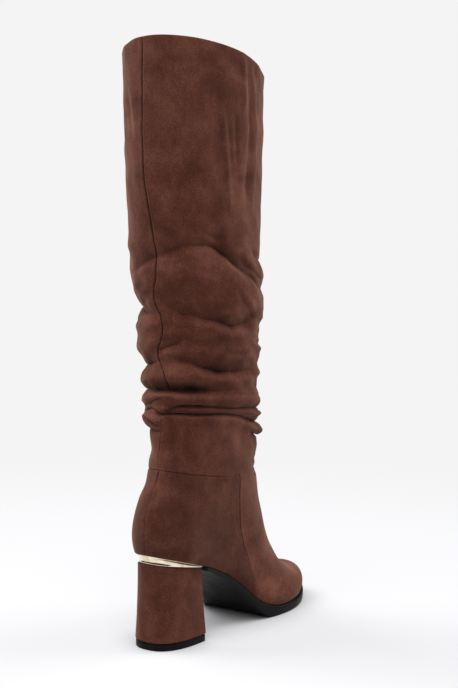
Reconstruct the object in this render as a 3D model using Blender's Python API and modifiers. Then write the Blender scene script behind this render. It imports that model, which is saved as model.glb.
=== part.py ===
# Knee-high slouch boot for the right foot, in brown suede on a covered block heel.
# Metres, +Y to the toe, +X to the outer side of the foot, +Z up.
# The origin is on the floor, at the centre of the top lift.

import math

import bmesh
import bpy

# Gaps and walls
GAP = 0.0003                # between two pieces that meet
UPPER_WALL = 0.0018         # suede, backer and lining of the foot
SHAFT_WALL = 0.0016         # suede and lining of the leg

# Heel
HEEL_HEIGHT = 0.0813        # floor to the back edge of the heel seat
BREAST_HEIGHT = 0.0648      # floor to the heel seat at the breast
HEEL_DEPTH = 0.050          # back to breast, at the floor
HEEL_WIDTH = 0.0535         # across, at the floor
HEEL_TOP_DEPTH = 0.0455     # back to breast, under the metal plate
HEEL_TOP_WIDTH = 0.0480     # across, under the metal plate
BREAST_RAKE = 0.0025        # how far the breast leans back at the seat
HEEL_ROUNDNESS = 2.5        # exponent of the D-shaped plan
HEEL_EDGE = 0.0010          # rounding where the cover turns under
HEEL_WAIST = 0.0006         # how much the block draws in half way up
LIFT_THICKNESS = 0.0062     # black wearing piece
LIFT_EDGE = 0.0005          # worn edge of the lift
LIFT_INSET = 0.0006         # lift inside the covered block
PLATE_BACK = 0.0072         # metal wedge, at the back
PLATE_FRONT = 0.0009        # metal wedge, at the breast
PLATE_TOP_INSET = 0.0012    # plate inside the upper's edge
PLATE_BOTTOM_INSET = 0.0016  # plate inside the heel block
PLATE_HOLLOW = 0.0010       # how far the plate's side curves in

# Last
SEAT_OVERHANG = 0.0025      # heel seat behind the heel block
FOOT_LENGTH = 0.228         # seat's back edge to toe tip, along the floor
BALL_WIDTH = 0.083          # insole, across the ball
TREAD_START = 0.116         # forefoot meets the floor, from the origin
TREAD_FLAT = 0.124          # top of the sole levels out, from the origin
TREAD_END = 0.150           # toe spring begins, from the origin
TOE_SPRING = 0.0075         # rise of the sole at the toe tip

# Sole and insole
SOLE_THICKNESS = 0.0078     # at the forefoot
SHANK_THICKNESS = 0.0036    # at the waist
SOLE_MARGIN = 0.0022        # forefoot edge outside the upper
SHANK_MARGIN = 0.0002       # waist edge outside the upper
SOLE_BEVEL = 0.0014         # worn-off edge underneath
INSOLE_THICKNESS = 0.0025
INSOLE_CLEARANCE = 0.0006   # between the insole's edge and the upper's wall

# Ankle, where the foot part ends and the leg begins
ANKLE_BACK_Y = -0.0103
ANKLE_FRONT_Y = 0.115
ANKLE_CENTRE_X = 0.0005
ANKLE_WIDTH = 0.067
ANKLE_BACK_HEIGHT = 0.151
ANKLE_FRONT_HEIGHT = 0.133
ANKLE_DIP = 0.003           # how far the seam sinks along the sides

# Leg
COLLAR_HEIGHT = 0.505       # floor to the highest point of the collar
COLLAR_DROP = 0.030         # how far the collar's front sits below its back
COLLAR_TILT = 0.004         # how far the collar rises on the outer side and sinks on the inner side
FOLD_DEPTH = 0.006          # deepest fold of the leg, in or out
FOLD_REACH = 0.010          # how far a fold spreads above and below its line
CALF_DEPTH = 0.138
CALF_WIDTH = 0.106

COLUMNS = 40                # round the boot, an even number
UPPER_ROWS = 15
SEAT_COLUMNS = 6            # of the columns on one side, those from the back to the breast
HEEL_STEPS = 12             # along one side of the heel, from back to breast
EDGE_LEAST = 0.0005         # half width left at an edge that is moved in

HEEL_FRONT_Y = HEEL_DEPTH / 2
BREAST_Y = HEEL_FRONT_Y - BREAST_RAKE
HEEL_BACK_Y = -HEEL_DEPTH / 2
SEAT_BACK_Y = HEEL_BACK_Y - SEAT_OVERHANG
TOE_Y = SEAT_BACK_Y + FOOT_LENGTH
LEG_RUN = COLLAR_HEIGHT - COLLAR_DROP / 2 - (ANKLE_BACK_HEIGHT + ANKLE_FRONT_HEIGHT) / 2

# Top of the sole from the breast (0, 1) to where it levels out (1, 0)
SHANK = {
    "station": (0.00, 0.165, 0.317, 0.468, 0.586, 0.687, 0.781, 0.882, 1.00),
    "height": (1.00, 0.874, 0.737, 0.556, 0.382, 0.235, 0.126, 0.050, 0.00),
}

# Plan of the insole: station from the heel, middle line and half width as shares of the ball width
OUTLINE = {
    "station": (0.00, 0.14, 0.28, 0.42, 0.56, 0.68, 0.80, 0.91, 1.00),
    "middle": (0.00, 0.00, 0.01, 0.02, 0.00, -0.035, -0.055, -0.08, -0.10),
    "half": (0.31, 0.325, 0.305, 0.310, 0.40, 0.485, 0.500, 0.50, 0.50),
}
HEEL_CAP = 0.13             # round end of the plan, share of its length
TOE_CAP = 0.29
TOE_ROUNDNESS = 2.0

# Slices of the foot part, from the sole's edge to the ankle. Each is a loop that leans down to the toe.
# back_in, back_up: from the seat's back edge (0) to the ankle's back (1)
# front_out, front_up: from the ankle's front (0, 1) to the toe's edge (1, 0)
# leg: how far the loop has the leg's width; full: swelling over the insole's plan; sag: how far it follows the sole
# tail, nose: length of the loop's round ends, share of its length
SLICES = {
    "back_in": (0.00, -0.12, -0.16, -0.08, 0.12, 0.42, 0.72, 1.00),
    "back_up": (0.00, 0.13, 0.27, 0.42, 0.58, 0.73, 0.87, 1.00),
    "front_out": (1.00, 1.00, 0.95, 0.79, 0.53, 0.27, 0.10, 0.00),
    "front_up": (0.00, 0.06, 0.115, 0.175, 0.28, 0.46, 0.71, 1.00),
    "leg": (0.00, 0.10, 0.28, 0.50, 0.72, 0.88, 0.97, 1.00),
    "full": (1.00, 1.06, 1.04, 1.00, 1.00, 1.00, 1.00, 1.00),
    "sag": (1.00, 0.98, 0.90, 0.68, 0.42, 0.20, 0.06, 0.00),
    "tail": (0.13, 0.14, 0.15, 0.18, 0.24, 0.32, 0.42, 0.50),
    "nose": (0.29, 0.29, 0.30, 0.33, 0.38, 0.43, 0.48, 0.50),
}

# Sections of the leg: rise from the ankle seam (0) to the collar (1), middle, depth and width
LEG = {
    "rise": (0.00, 0.10, 0.20, 0.30, 0.38, 0.45, 0.54, 0.65, 0.79, 1.00),
    "back": (0.000, -0.026, 0.002, 0.021, 0.028, 0.042, 0.068, 0.081, 0.081, 0.086),
    "depth": (0.908, 0.896, 0.850, 0.812, 0.826, 0.870, 0.900, 0.942, 0.986, 1.00),
    "width": (0.632, 0.680, 0.825, 0.889, 0.928, 0.950, 0.955, 0.966, 0.975, 1.00),
}

# Rows of the leg's mesh: closer together where it folds
ROW_BANDS = {
    "rise": (0.00, 0.08, 0.28, 0.58, 1.00),
    "rows": (4, 20, 18, 8),
}
FOLD_FADE = 0.22            # share of a fold's length over which it dies away at each end

# Folds of the leg, a row each: where a fold starts and ends round the leg, in degrees from the back seam
# by the outer side, and the rise of its start, middle and end.
# push: out, or in below zero, as a share of the fold depth. reach: up and down, as a share of the fold reach.
# sharp: 1 for a crisp crease, 0 for a round roll.
FOLD_COLUMNS = ("turn_start", "turn_end", "rise_start", "rise_middle", "rise_end", "push", "reach", "sharp")
FOLDS = (
    # slack above the ankle, outer side
    (-32, 116, 0.466, 0.556, 0.448, -0.53, 1.1, 0.3),
    (-20, 150, 0.445, 0.490, 0.420, 0.57, 1.7, 0.0),
    (-52, 10, 0.452, 0.436, 0.420, 0.43, 1.1, 0.0),
    (-62, 8, 0.404, 0.388, 0.346, -0.77, 0.8, 0.6),
    (8, 104, 0.366, 0.340, 0.425, -0.43, 0.8, 0.5),
    (6, 150, 0.330, 0.330, 0.316, 0.47, 0.9, 0.0),
    (-56, 20, 0.330, 0.328, 0.312, 0.50, 1.2, 0.0),
    (-10, 48, 0.262, 0.298, 0.330, -0.40, 0.7, 0.5),
    (82, 135, 0.352, 0.342, 0.340, -0.33, 0.6, 0.5),
    (-64, 8, 0.246, 0.240, 0.272, -1.00, 0.8, 0.6),
    (8, 112, 0.272, 0.232, 0.276, -0.70, 0.8, 0.5),
    (20, 160, 0.292, 0.262, 0.250, 0.40, 0.8, 0.0),
    (-52, 4, 0.214, 0.210, 0.214, 0.57, 0.8, 0.0),
    (0, 165, 0.214, 0.216, 0.204, 0.50, 0.8, 0.0),
    (-40, 150, 0.180, 0.192, 0.232, -0.90, 0.7, 0.7),
    (6, 172, 0.172, 0.178, 0.196, 0.50, 0.6, 0.0),
    (4, 172, 0.148, 0.164, 0.172, -0.60, 0.5, 0.8),
    (10, 172, 0.142, 0.152, 0.148, 0.37, 0.5, 0.0),
    (-14, 168, 0.131, 0.145, 0.112, -0.63, 0.5, 0.8),
    (-54, 2, 0.150, 0.132, 0.112, 0.70, 1.2, 0.0),
    (-46, 6, 0.090, 0.088, 0.094, -0.43, 0.5, 0.6),
    (10, 176, 0.116, 0.112, 0.104, 0.57, 0.9, 0.0),
    (88, 172, 0.088, 0.086, 0.084, -0.43, 0.5, 0.6),
    # the same on the inner side and the front
    (120, 300, 0.500, 0.524, 0.470, -0.43, 1.2, 0.2),
    (130, 310, 0.452, 0.470, 0.440, 0.40, 1.4, 0.0),
    (128, 236, 0.342, 0.372, 0.336, -0.60, 0.9, 0.5),
    (214, 306, 0.412, 0.392, 0.404, -0.57, 0.8, 0.5),
    (140, 308, 0.312, 0.326, 0.330, 0.43, 1.1, 0.0),
    (106, 304, 0.276, 0.268, 0.246, -0.73, 0.8, 0.5),
    (140, 312, 0.238, 0.232, 0.214, 0.50, 0.8, 0.0),
    (132, 326, 0.230, 0.204, 0.180, -0.80, 0.7, 0.6),
    (148, 316, 0.196, 0.178, 0.162, 0.40, 0.7, 0.0),
    (150, 290, 0.172, 0.158, 0.146, -0.53, 0.6, 0.7),
    (146, 322, 0.122, 0.116, 0.104, -0.60, 0.6, 0.6),
    (146, 320, 0.098, 0.088, 0.084, 0.30, 0.8, 0.0),
)


def smooth(stations, values, at):
    """Cubic curve through hand-set stations, level at no end."""
    last = len(stations) - 1
    i = max(0, min(last - 1, sum(1 for s in stations[1:-1] if s <= at)))
    slopes = []
    for k in (i, i + 1):
        lo, hi = max(0, k - 1), min(last, k + 1)
        slopes.append((values[hi] - values[lo]) / (stations[hi] - stations[lo]))
    step = stations[i + 1] - stations[i]
    t = (at - stations[i]) / step
    rise = values[i + 1] - values[i]
    bend_in = slopes[0] * step - rise
    bend_out = rise - slopes[1] * step
    return values[i] + t * rise + t * (1 - t) * (bend_in * (1 - t) + bend_out * t)


def mix(a, b, share):
    return a + (b - a) * share


def ease(share):
    share = max(0.0, min(1.0, share))
    return share * share * (3 - 2 * share)


def cap(distance, length, exponent=2.0):
    """Half width of a round end, 0 at its tip and 1 from length on."""
    if distance >= length:
        return 1.0
    return (1 - (1 - max(0.0, distance) / length) ** exponent) ** (1 / exponent)


def column_share(k):
    """Place of a column along any loop, 0 at the back and 1 at the toe. One column stands at the heel's breast."""
    k = min(k, COLUMNS - k)
    seat = (BREAST_Y - SEAT_BACK_Y) / FOOT_LENGTH
    if k <= SEAT_COLUMNS:
        return seat * (1 - math.cos(math.pi / 2 * k / SEAT_COLUMNS))
    ahead = (k - SEAT_COLUMNS) / (COLUMNS / 2 - SEAT_COLUMNS)
    return mix(seat, 1.0, math.sin(math.pi / 2 * ahead))


def column_side(k):
    """1 on the outer side, -1 on the inner side, 0 at the back and the toe."""
    return 0 if k % (COLUMNS // 2) == 0 else 1 if k < COLUMNS // 2 else -1


def seat_height(y):
    share = (y - SEAT_BACK_Y) / (BREAST_Y - SEAT_BACK_Y)
    return mix(HEEL_HEIGHT, BREAST_HEIGHT, share)


def bed_height(y):
    """Top of the sole: heel seat, shank, tread and toe spring."""
    if y <= BREAST_Y:
        return seat_height(y)
    if y < TREAD_FLAT:
        share = (y - BREAST_Y) / (TREAD_FLAT - BREAST_Y)
        return mix(SOLE_THICKNESS, BREAST_HEIGHT, smooth(SHANK["station"], SHANK["height"], share))
    spring = max(0.0, (y - TREAD_END) / (TOE_Y - TREAD_END))
    return SOLE_THICKNESS + TOE_SPRING * spring ** 2


def outline_half(y):
    share = (y - SEAT_BACK_Y) / FOOT_LENGTH
    return BALL_WIDTH * smooth(OUTLINE["station"], OUTLINE["half"], share)


def outline_middle(y):
    share = (y - SEAT_BACK_Y) / FOOT_LENGTH
    return BALL_WIDTH * smooth(OUTLINE["station"], OUTLINE["middle"], share)


def slice_value(name, level):
    column = SLICES[name]
    stations = [k / (len(column) - 1) for k in range(len(column))]
    return smooth(stations, column, level)


def foot_slice(level):
    """One loop of the foot part, from the back round the outer side: level 0 at the sole, 1 at the ankle."""
    value = {name: slice_value(name, level) for name in SLICES}
    back_y = mix(SEAT_BACK_Y, ANKLE_BACK_Y, value["back_in"])
    back_z = mix(HEEL_HEIGHT, ANKLE_BACK_HEIGHT, value["back_up"])
    front_y = mix(ANKLE_FRONT_Y, TOE_Y, value["front_out"])
    front_z = mix(bed_height(TOE_Y), ANKLE_FRONT_HEIGHT, value["front_up"])
    length = front_y - back_y
    chord_drop = bed_height(TOE_Y) - HEEL_HEIGHT
    points = []
    for k in range(COLUMNS):
        share = column_share(k)
        y = back_y + length * share
        bed_y = min(max(y, SEAT_BACK_Y), TOE_Y)
        bed_share = (bed_y - SEAT_BACK_Y) / FOOT_LENGTH
        sag = bed_height(bed_y) - (HEEL_HEIGHT + chord_drop * bed_share)
        ankle_sag = -ANKLE_DIP * 4 * share * (1 - share)
        z = mix(back_z, front_z, share) + value["sag"] * sag + value["leg"] ** 4 * ankle_sag
        half = mix(value["full"] * outline_half(bed_y), ANKLE_WIDTH / 2, value["leg"])
        roundness = mix(TOE_ROUNDNESS, 2.0, value["leg"])
        half *= cap(share, value["tail"]) * cap(1 - share, value["nose"], roundness)
        middle = mix(outline_middle(bed_y), ANKLE_CENTRE_X, value["leg"])
        points.append((middle + column_side(k) * half, y, z))
    return points


def loft(name, loops, closed_ends=False):
    """Faces between loops that have the same number of points, with strips across the ends if they are closed."""
    mesh = bmesh.new()
    rows = [[mesh.verts.new(p) for p in loop] for loop in loops]
    count = len(rows[0])
    for low, high in zip(rows, rows[1:]):
        for k in range(count):
            n = (k + 1) % count
            mesh.faces.new((low[k], low[n], high[n], high[k]))
    if closed_ends:
        ladder(mesh, rows[0])
        ladder(mesh, rows[-1])
    bmesh.ops.recalc_face_normals(mesh, faces=mesh.faces)
    data = bpy.data.meshes.new(name)
    mesh.to_mesh(data)
    mesh.free()
    piece = bpy.data.objects.new(name, data)
    bpy.data.collections["boot"].objects.link(piece)
    data.shade_smooth()
    data.set_sharp_from_angle(angle=math.radians(40))
    return piece


def ladder(mesh, row):
    """Closes a loop that is mirrored about its first point with strips from side to side."""
    count = len(row)
    left, right = 1, count - 1
    previous = (row[0],)
    while left < right:
        rung = (row[left], row[right])
        face = (previous[0], rung[0], rung[1]) + ((previous[1],) if len(previous) == 2 else ())
        mesh.faces.new(face)
        previous = rung
        left, right = left + 1, right - 1
    if left == right:
        mesh.faces.new((previous[0], row[left], previous[1]))


def give_wall(piece, thickness):
    wall = piece.modifiers.new("wall", "SOLIDIFY")
    wall.thickness = thickness
    wall.offset = -1.0
    wall.use_even_offset = True
    return piece


def finish(piece, name, colour, roughness, metallic=0.0):
    look = bpy.data.materials.get(name) or bpy.data.materials.new(name)
    look.use_nodes = True
    shader = look.node_tree.nodes["Principled BSDF"]
    shader.inputs["Base Color"].default_value = (*colour, 1.0)
    shader.inputs["Roughness"].default_value = roughness
    shader.inputs["Metallic"].default_value = metallic
    piece.data.materials.append(look)


def suede(piece):
    finish(piece, "brown suede", (0.075, 0.028, 0.020), 0.95)


def black_rubber(piece):
    finish(piece, "black rubber", (0.012, 0.013, 0.014), 0.45)


def make_upper():
    loops = []
    for row in range(UPPER_ROWS):
        level = row / (UPPER_ROWS - 1)
        lift = GAP if row == 0 else 0.0
        loops.append([(x, y, z + lift) for x, y, z in foot_slice(level)])
    piece = loft("upper", loops)
    give_wall(piece, UPPER_WALL)
    suede(piece)


def leg_value(name, rise):
    return smooth(LEG["rise"], LEG[name], rise)


def fold_push(turn, rise):
    """How far the folds move the leg's wall at turn degrees and rise, in metres."""
    total = 0.0
    for row in FOLDS:
        fold = dict(zip(FOLD_COLUMNS, row))
        along = (turn - fold["turn_start"]) % 360 / (fold["turn_end"] - fold["turn_start"])
        if along >= 1:
            continue
        start, middle, end = fold["rise_start"], fold["rise_middle"], fold["rise_end"]
        bow = 4 * along * (1 - along) * (middle - (start + end) / 2)
        away = abs(rise - mix(start, end, along) - bow) * LEG_RUN / (fold["reach"] * FOLD_REACH)
        if away >= 1:
            continue
        profile = (1 - away) ** 2 * (1 + 2 * (1 - fold["sharp"]) * away)
        total += fold["push"] * FOLD_DEPTH * profile * ease(along / FOLD_FADE) * ease((1 - along) / FOLD_FADE)
    return total


def leg_section(rise, folds=1.0):
    """One loop of the leg, from the back round the outer side: rise 0 at the ankle seam, 1 at the collar."""
    seam = foot_slice(1.0)
    centre_y = (ANKLE_BACK_Y + ANKLE_FRONT_Y) / 2 - CALF_DEPTH * leg_value("back", rise)
    half_depth = CALF_DEPTH / 2 * leg_value("depth", rise)
    half_width = CALF_WIDTH / 2 * leg_value("width", rise)
    blend = ease(rise / 0.05)
    points = []
    for k in range(COLUMNS):
        share = column_share(k)
        across = column_side(k) * 2 * math.sqrt(share * (1 - share))
        along = 2 * share - 1
        push = folds * fold_push(math.degrees(math.atan2(across, -along)), rise)
        slope = math.hypot(across / half_width, along / half_depth)
        x = ANKLE_CENTRE_X * (1 - rise) + half_width * across + push * across / half_width / slope
        y = centre_y + half_depth * along + push * along / half_depth / slope
        x, y = mix(seam[k][0], x, blend), mix(seam[k][1], y, blend)
        top = COLLAR_HEIGHT - COLLAR_DROP * share + COLLAR_TILT * across
        z = mix(seam[k][2] + GAP, top, rise)
        points.append((x, y, z))
    return points


def make_shaft():
    rises = []
    for start, end, rows in zip(ROW_BANDS["rise"], ROW_BANDS["rise"][1:], ROW_BANDS["rows"]):
        rises += [mix(start, end, row / rows) for row in range(rows)]
    loops = [leg_section(rise) for rise in [*rises, 1.0]]
    piece = loft("shaft", loops)
    give_wall(piece, SHAFT_WALL)
    suede(piece)


def moved_in(y, inset):
    """Station of an edge that runs inset inside the insole's plan. Along the shank it stays where it is."""
    back = max(0.0, (BREAST_Y - y) / (BREAST_Y - SEAT_BACK_Y))
    front = max(0.0, (y - TREAD_END) / (TOE_Y - TREAD_END))
    return y + inset * (back - front)


def plan_half(y):
    """Half width of the insole's plan, with its round ends."""
    share = (y - SEAT_BACK_Y) / FOOT_LENGTH
    return outline_half(y) * cap(share, HEEL_CAP) * cap(1 - share, TOE_CAP, TOE_ROUNDNESS)


def plan_loop(inset_at, height_at):
    """Loop round the insole's plan, moved in by inset_at(y), at height_at(y)."""
    points = []
    for k in range(COLUMNS):
        y = mix(SEAT_BACK_Y, TOE_Y, column_share(k))
        inset = inset_at(y)
        edge = column_side(k) * max(EDGE_LEAST, plan_half(y) - inset)
        y = moved_in(y, inset)
        points.append((outline_middle(y) + edge, y, height_at(y)))
    return points


def make_insole():
    def inset(y):
        return UPPER_WALL + INSOLE_CLEARANCE

    loops = [
        plan_loop(inset, lambda y: bed_height(y) + GAP),
        plan_loop(inset, lambda y: bed_height(y) + GAP + INSOLE_THICKNESS),
    ]
    piece = loft("insole", loops, closed_ends=True)
    finish(piece, "sock lining", (0.11, 0.05, 0.035), 0.8)


def forefoot_share(y):
    """0 at the breast, 1 from the tread on."""
    return ease((y - BREAST_Y) / (TREAD_START - BREAST_Y))


def sole_underside(y):
    if TREAD_START <= y <= TREAD_END:
        return 0.0
    if y > TREAD_END:
        return bed_height(y) - SOLE_THICKNESS
    return bed_height(y) - mix(SHANK_THICKNESS, bed_height(TREAD_START), forefoot_share(y) ** 2)


def sole_loop(inset, height_at):
    """Loop round the sole, from the toe by the inner side to the breast, across it and back by the outer side."""
    def margin(y):
        return inset - mix(SHANK_MARGIN, SOLE_MARGIN, forefoot_share(y))

    whole = plan_loop(margin, height_at)
    toe = COLUMNS // 2
    inner, outer = whole[toe:COLUMNS - SEAT_COLUMNS], whole[SEAT_COLUMNS + 1:toe]
    corners = []
    for breast, ahead in ((whole[COLUMNS - SEAT_COLUMNS], inner[-1]), (whole[SEAT_COLUMNS], outer[0])):
        share = GAP / (ahead[1] - breast[1])
        corners.append(tuple(mix(a, b, share) for a, b in zip(breast, ahead)))
    return [*inner, *corners, *outer]


def make_outsole():
    def side(share):
        return lambda y: mix(sole_underside(y), bed_height(y), share)

    loops = [
        sole_loop(SOLE_BEVEL, side(0.0)),
        sole_loop(0.0, side(0.25)),
        sole_loop(0.0, side(0.85)),
        sole_loop(SOLE_BEVEL / 2, side(1.0)),
    ]
    piece = loft("outsole", loops, closed_ends=True)
    black_rubber(piece)


def heel_loop(half_at, back_y, front_y, height_at):
    """D-shaped loop with its straight side at the breast, from the back round the outer side."""
    outer = []
    for k in range(1, HEEL_STEPS + 1):
        reach = math.cos(math.pi / 2 * k / HEEL_STEPS)
        y = mix(front_y, back_y, reach)
        outer.append((half_at(reach, y), y, height_at(y)))
    inner = [(-x, y, z) for x, y, z in reversed(outer)]
    return [(0.0, back_y, height_at(back_y)), *outer, *inner]


def rounded_d(width, inset):
    """Half width of the heel's plan: reach is 1 at its back and 0 at the breast."""
    def half_at(reach, y):
        return (width / 2 - inset) * (1 - reach ** HEEL_ROUNDNESS) ** (1 / HEEL_ROUNDNESS)
    return half_at


def plate_thickness(y):
    return mix(PLATE_BACK, PLATE_FRONT, (y - SEAT_BACK_Y) / (BREAST_Y - SEAT_BACK_Y))


def make_heel_plate():
    def top_half(reach, y):
        return max(0.0, plan_half(y) - PLATE_TOP_INSET) if reach < 1 else 0.0

    back = BREAST_Y - HEEL_TOP_DEPTH + PLATE_BOTTOM_INSET
    top = heel_loop(top_half, SEAT_BACK_Y + PLATE_TOP_INSET, BREAST_Y, seat_height)
    bottom = heel_loop(
        rounded_d(HEEL_TOP_WIDTH, PLATE_BOTTOM_INSET), back, BREAST_Y,
        lambda y: seat_height(y) - plate_thickness(y),
    )
    loops = [bottom]
    for share in (0.3, 0.7):
        loop = []
        for low, high in zip(bottom, top):
            x, y, z = (mix(a, b, share) for a, b in zip(low, high))
            hollow = PLATE_HOLLOW * plate_thickness(y) / PLATE_BACK
            loop.append((x - math.copysign(min(hollow, abs(x)), x), min(y + hollow, BREAST_Y), z))
        loops.append(loop)
    loops.append(top)
    piece = loft("heel_plate", loops, closed_ends=True)
    finish(piece, "pale gold metal", (0.83, 0.76, 0.62), 0.12, 1.0)


def make_heel_block():
    def top_height(y):
        return seat_height(y) - plate_thickness(y) - GAP

    bottom_height = LIFT_THICKNESS + GAP
    loops = []
    for share, inset in ((0.0, HEEL_EDGE), (0.0, 0.0), (0.5, 0.0), (1.0, 0.0), (1.0, HEEL_EDGE)):
        waist = HEEL_WAIST * 4 * share * (1 - share)
        width = mix(HEEL_WIDTH, HEEL_TOP_WIDTH, share) - 2 * waist
        front = mix(HEEL_FRONT_Y, BREAST_Y, share) - inset
        back = mix(HEEL_BACK_Y, BREAST_Y - HEEL_TOP_DEPTH, share) + waist + inset
        step = (HEEL_EDGE - inset) * (1 - 2 * share)

        def height(y, share=share, step=step):
            return mix(bottom_height, top_height(y), share) + step

        loops.append(heel_loop(rounded_d(width, inset), back, front, height))
    piece = loft("heel_block", loops, closed_ends=True)
    suede(piece)


def make_top_lift():
    loops = []
    for inset, height in ((LIFT_EDGE, 0.0), (0.0, LIFT_EDGE), (0.0, LIFT_THICKNESS)):
        inset += LIFT_INSET
        back, front = HEEL_BACK_Y + inset, HEEL_FRONT_Y - inset
        loops.append(heel_loop(rounded_d(HEEL_WIDTH, inset), back, front, lambda y, height=height: height))
    piece = loft("top_lift", loops, closed_ends=True)
    black_rubber(piece)


def main():
    for old in list(bpy.data.objects):
        bpy.data.objects.remove(old)
    collection = bpy.data.collections.new("boot")
    bpy.context.scene.collection.children.link(collection)
    make_upper()
    make_shaft()
    make_insole()
    make_outsole()
    make_heel_plate()
    make_heel_block()
    make_top_lift()


main()
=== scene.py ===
import math

import bpy
import numpy as np
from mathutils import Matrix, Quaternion, Vector


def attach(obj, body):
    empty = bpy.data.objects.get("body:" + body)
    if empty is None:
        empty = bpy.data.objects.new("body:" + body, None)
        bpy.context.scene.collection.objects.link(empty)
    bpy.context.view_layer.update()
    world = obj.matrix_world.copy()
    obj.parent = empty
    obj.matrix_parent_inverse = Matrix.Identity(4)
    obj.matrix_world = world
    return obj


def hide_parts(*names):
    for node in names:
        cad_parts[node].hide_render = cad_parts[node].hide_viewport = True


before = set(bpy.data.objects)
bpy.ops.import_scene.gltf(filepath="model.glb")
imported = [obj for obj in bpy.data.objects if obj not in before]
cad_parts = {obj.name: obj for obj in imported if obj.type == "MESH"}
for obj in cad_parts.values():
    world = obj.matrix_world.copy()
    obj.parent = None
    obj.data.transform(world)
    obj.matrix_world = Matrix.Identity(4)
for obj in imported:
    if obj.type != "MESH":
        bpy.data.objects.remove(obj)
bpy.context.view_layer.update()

mm = 0.001
up = np.array([0.0, 0.0, 1.0])

# Sizes of the boot, in metres, as the solids have them.
last = {
    "seatBackY": -0.0275, "breastY": 0.0225, "toeY": 0.2005, "footLength": 0.228, "ballWidth": 0.083,
    "heelHeight": 0.0813, "breastHeight": 0.0648, "treadStart": 0.116, "treadFlat": 0.124, "treadEnd": 0.150,
    "toeSpring": 0.0075, "soleThickness": 0.0078, "shankThickness": 0.0036,
    "ankleBackY": -0.0103, "ankleFrontY": 0.115, "ankleX": 0.0005, "ankleWidth": 0.067,
    "ankleBackZ": 0.151, "ankleFrontZ": 0.133, "ankleDip": 0.003,
    "collarZ": 0.505, "collarDrop": 0.030, "collarTilt": 0.004, "calfDepth": 0.138, "calfWidth": 0.106,
    # fall of the arch from the breast to the tread, in shares of both
    "shank": {
        "station": (0.00, 0.165, 0.317, 0.468, 0.586, 0.687, 0.781, 0.882, 1.00),
        "height": (1.00, 0.874, 0.737, 0.556, 0.382, 0.235, 0.126, 0.050, 0.00),
    },
    # plan of the foot from the back to the toe, in shares of the ball's width
    "outline": {
        "station": (0.00, 0.14, 0.28, 0.42, 0.56, 0.68, 0.80, 0.91, 1.00),
        "middle": (0.00, 0.00, 0.01, 0.02, 0.00, -0.035, -0.055, -0.08, -0.10),
        "half": (0.31, 0.325, 0.305, 0.310, 0.40, 0.485, 0.500, 0.50, 0.50),
    },
    "heelRound": 0.13, "toeRound": 0.29,        # length of the plan's round ends, in shares
}
legRun = last["collarZ"] - last["collarDrop"] / 2 - (last["ankleBackZ"] + last["ankleFrontZ"]) / 2
seatShare = (last["breastY"] - last["seatBackY"]) / last["footLength"]


def mix(a, b, share):
    return a + (b - a) * share


def ease(share):
    share = np.clip(share, 0.0, 1.0)
    return share * share * (3 - 2 * share)


def curveThrough(stations, values, at):
    # smooth curve through given stations
    stations, values = np.asarray(stations, float), np.asarray(values, float)
    at = np.asarray(at, float)
    slopes = np.empty_like(values)
    slopes[1:-1] = (values[2:] - values[:-2]) / (stations[2:] - stations[:-2])
    slopes[0] = (values[1] - values[0]) / (stations[1] - stations[0])
    slopes[-1] = (values[-1] - values[-2]) / (stations[-1] - stations[-2])
    i = np.clip(np.searchsorted(stations, at, side="right") - 1, 0, len(stations) - 2)
    step = stations[i + 1] - stations[i]
    t = (at - stations[i]) / step
    rise = values[i + 1] - values[i]
    bendIn, bendOut = slopes[i] * step - rise, rise - slopes[i + 1] * step
    return values[i] + t * rise + t * (1 - t) * (bendIn * (1 - t) + bendOut * t)


def swell(t):
    # soft bump: 1 at t = 0, 0 at t = 1
    return (1 - t) ** 2 * (1 + 2 * t)


def roundEnd(distance, length):
    # half width of a round end: 0 at its tip, 1 from length on
    reach = np.clip(1 - np.maximum(distance, 0.0) / length, 0.0, 1.0)
    return np.sqrt(1 - reach ** 2)


def waves(u, v, seed, count, shortest, longest, stretch=1.0):
    # soft unevenness between about -1 and 1: a sum of waves with lengths in metres
    rng = np.random.default_rng(seed)
    total = np.zeros(np.broadcast(u, v).shape)
    for _ in range(count):
        length = math.exp(rng.uniform(math.log(shortest), math.log(longest)))
        angle = rng.uniform(0, 2 * math.pi)
        phase = rng.uniform(0, 2 * math.pi)
        total += np.sin(2 * math.pi / length * (u * math.cos(angle) / stretch + v * math.sin(angle)) + phase)
    return total / math.sqrt(count)


def stripsAcross(row, reverse):
    # closes a loop that is mirrored about its first point
    faces, left, right, before = [], 1, len(row) - 1, (row[0],)
    while left < right:
        faces.append((before[0], row[left], row[right]) + before[1:])
        before = (row[left], row[right])
        left, right = left + 1, right - 1
    if left == right:
        faces.append((before[0], row[left], before[1]))
    return [face[::-1] for face in faces] if reverse else faces


def gridPiece(name, points, closeStart=False, closeEnd=False, flip=False):
    # points: rows x columns x 3, with the last column joined to the first
    rows, columns, _ = points.shape
    index = np.arange(rows * columns).reshape(rows, columns)
    right = np.roll(index, -1, axis=1)
    faces = np.stack([index[:-1], right[:-1], right[1:], index[1:]], axis=-1).reshape(-1, 4).tolist()
    if closeStart:
        faces += stripsAcross(index[0].tolist(), reverse=True)
    if closeEnd:
        faces += stripsAcross(index[-1].tolist(), reverse=False)
    if flip:
        faces = [face[::-1] for face in faces]
    mesh = bpy.data.meshes.new(name)
    mesh.from_pydata(points.reshape(-1, 3).tolist(), [], faces)
    mesh.validate()
    mesh.shade_smooth()
    piece = bpy.data.objects.new(name, mesh)
    bpy.context.scene.collection.objects.link(piece)
    return piece


def gridNormals(points):
    across = np.roll(points, -1, axis=1) - np.roll(points, 1, axis=1)
    normal = np.cross(across, np.gradient(points, axis=0))
    return normal / np.maximum(np.linalg.norm(normal, axis=2, keepdims=True), 1e-12)


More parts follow.
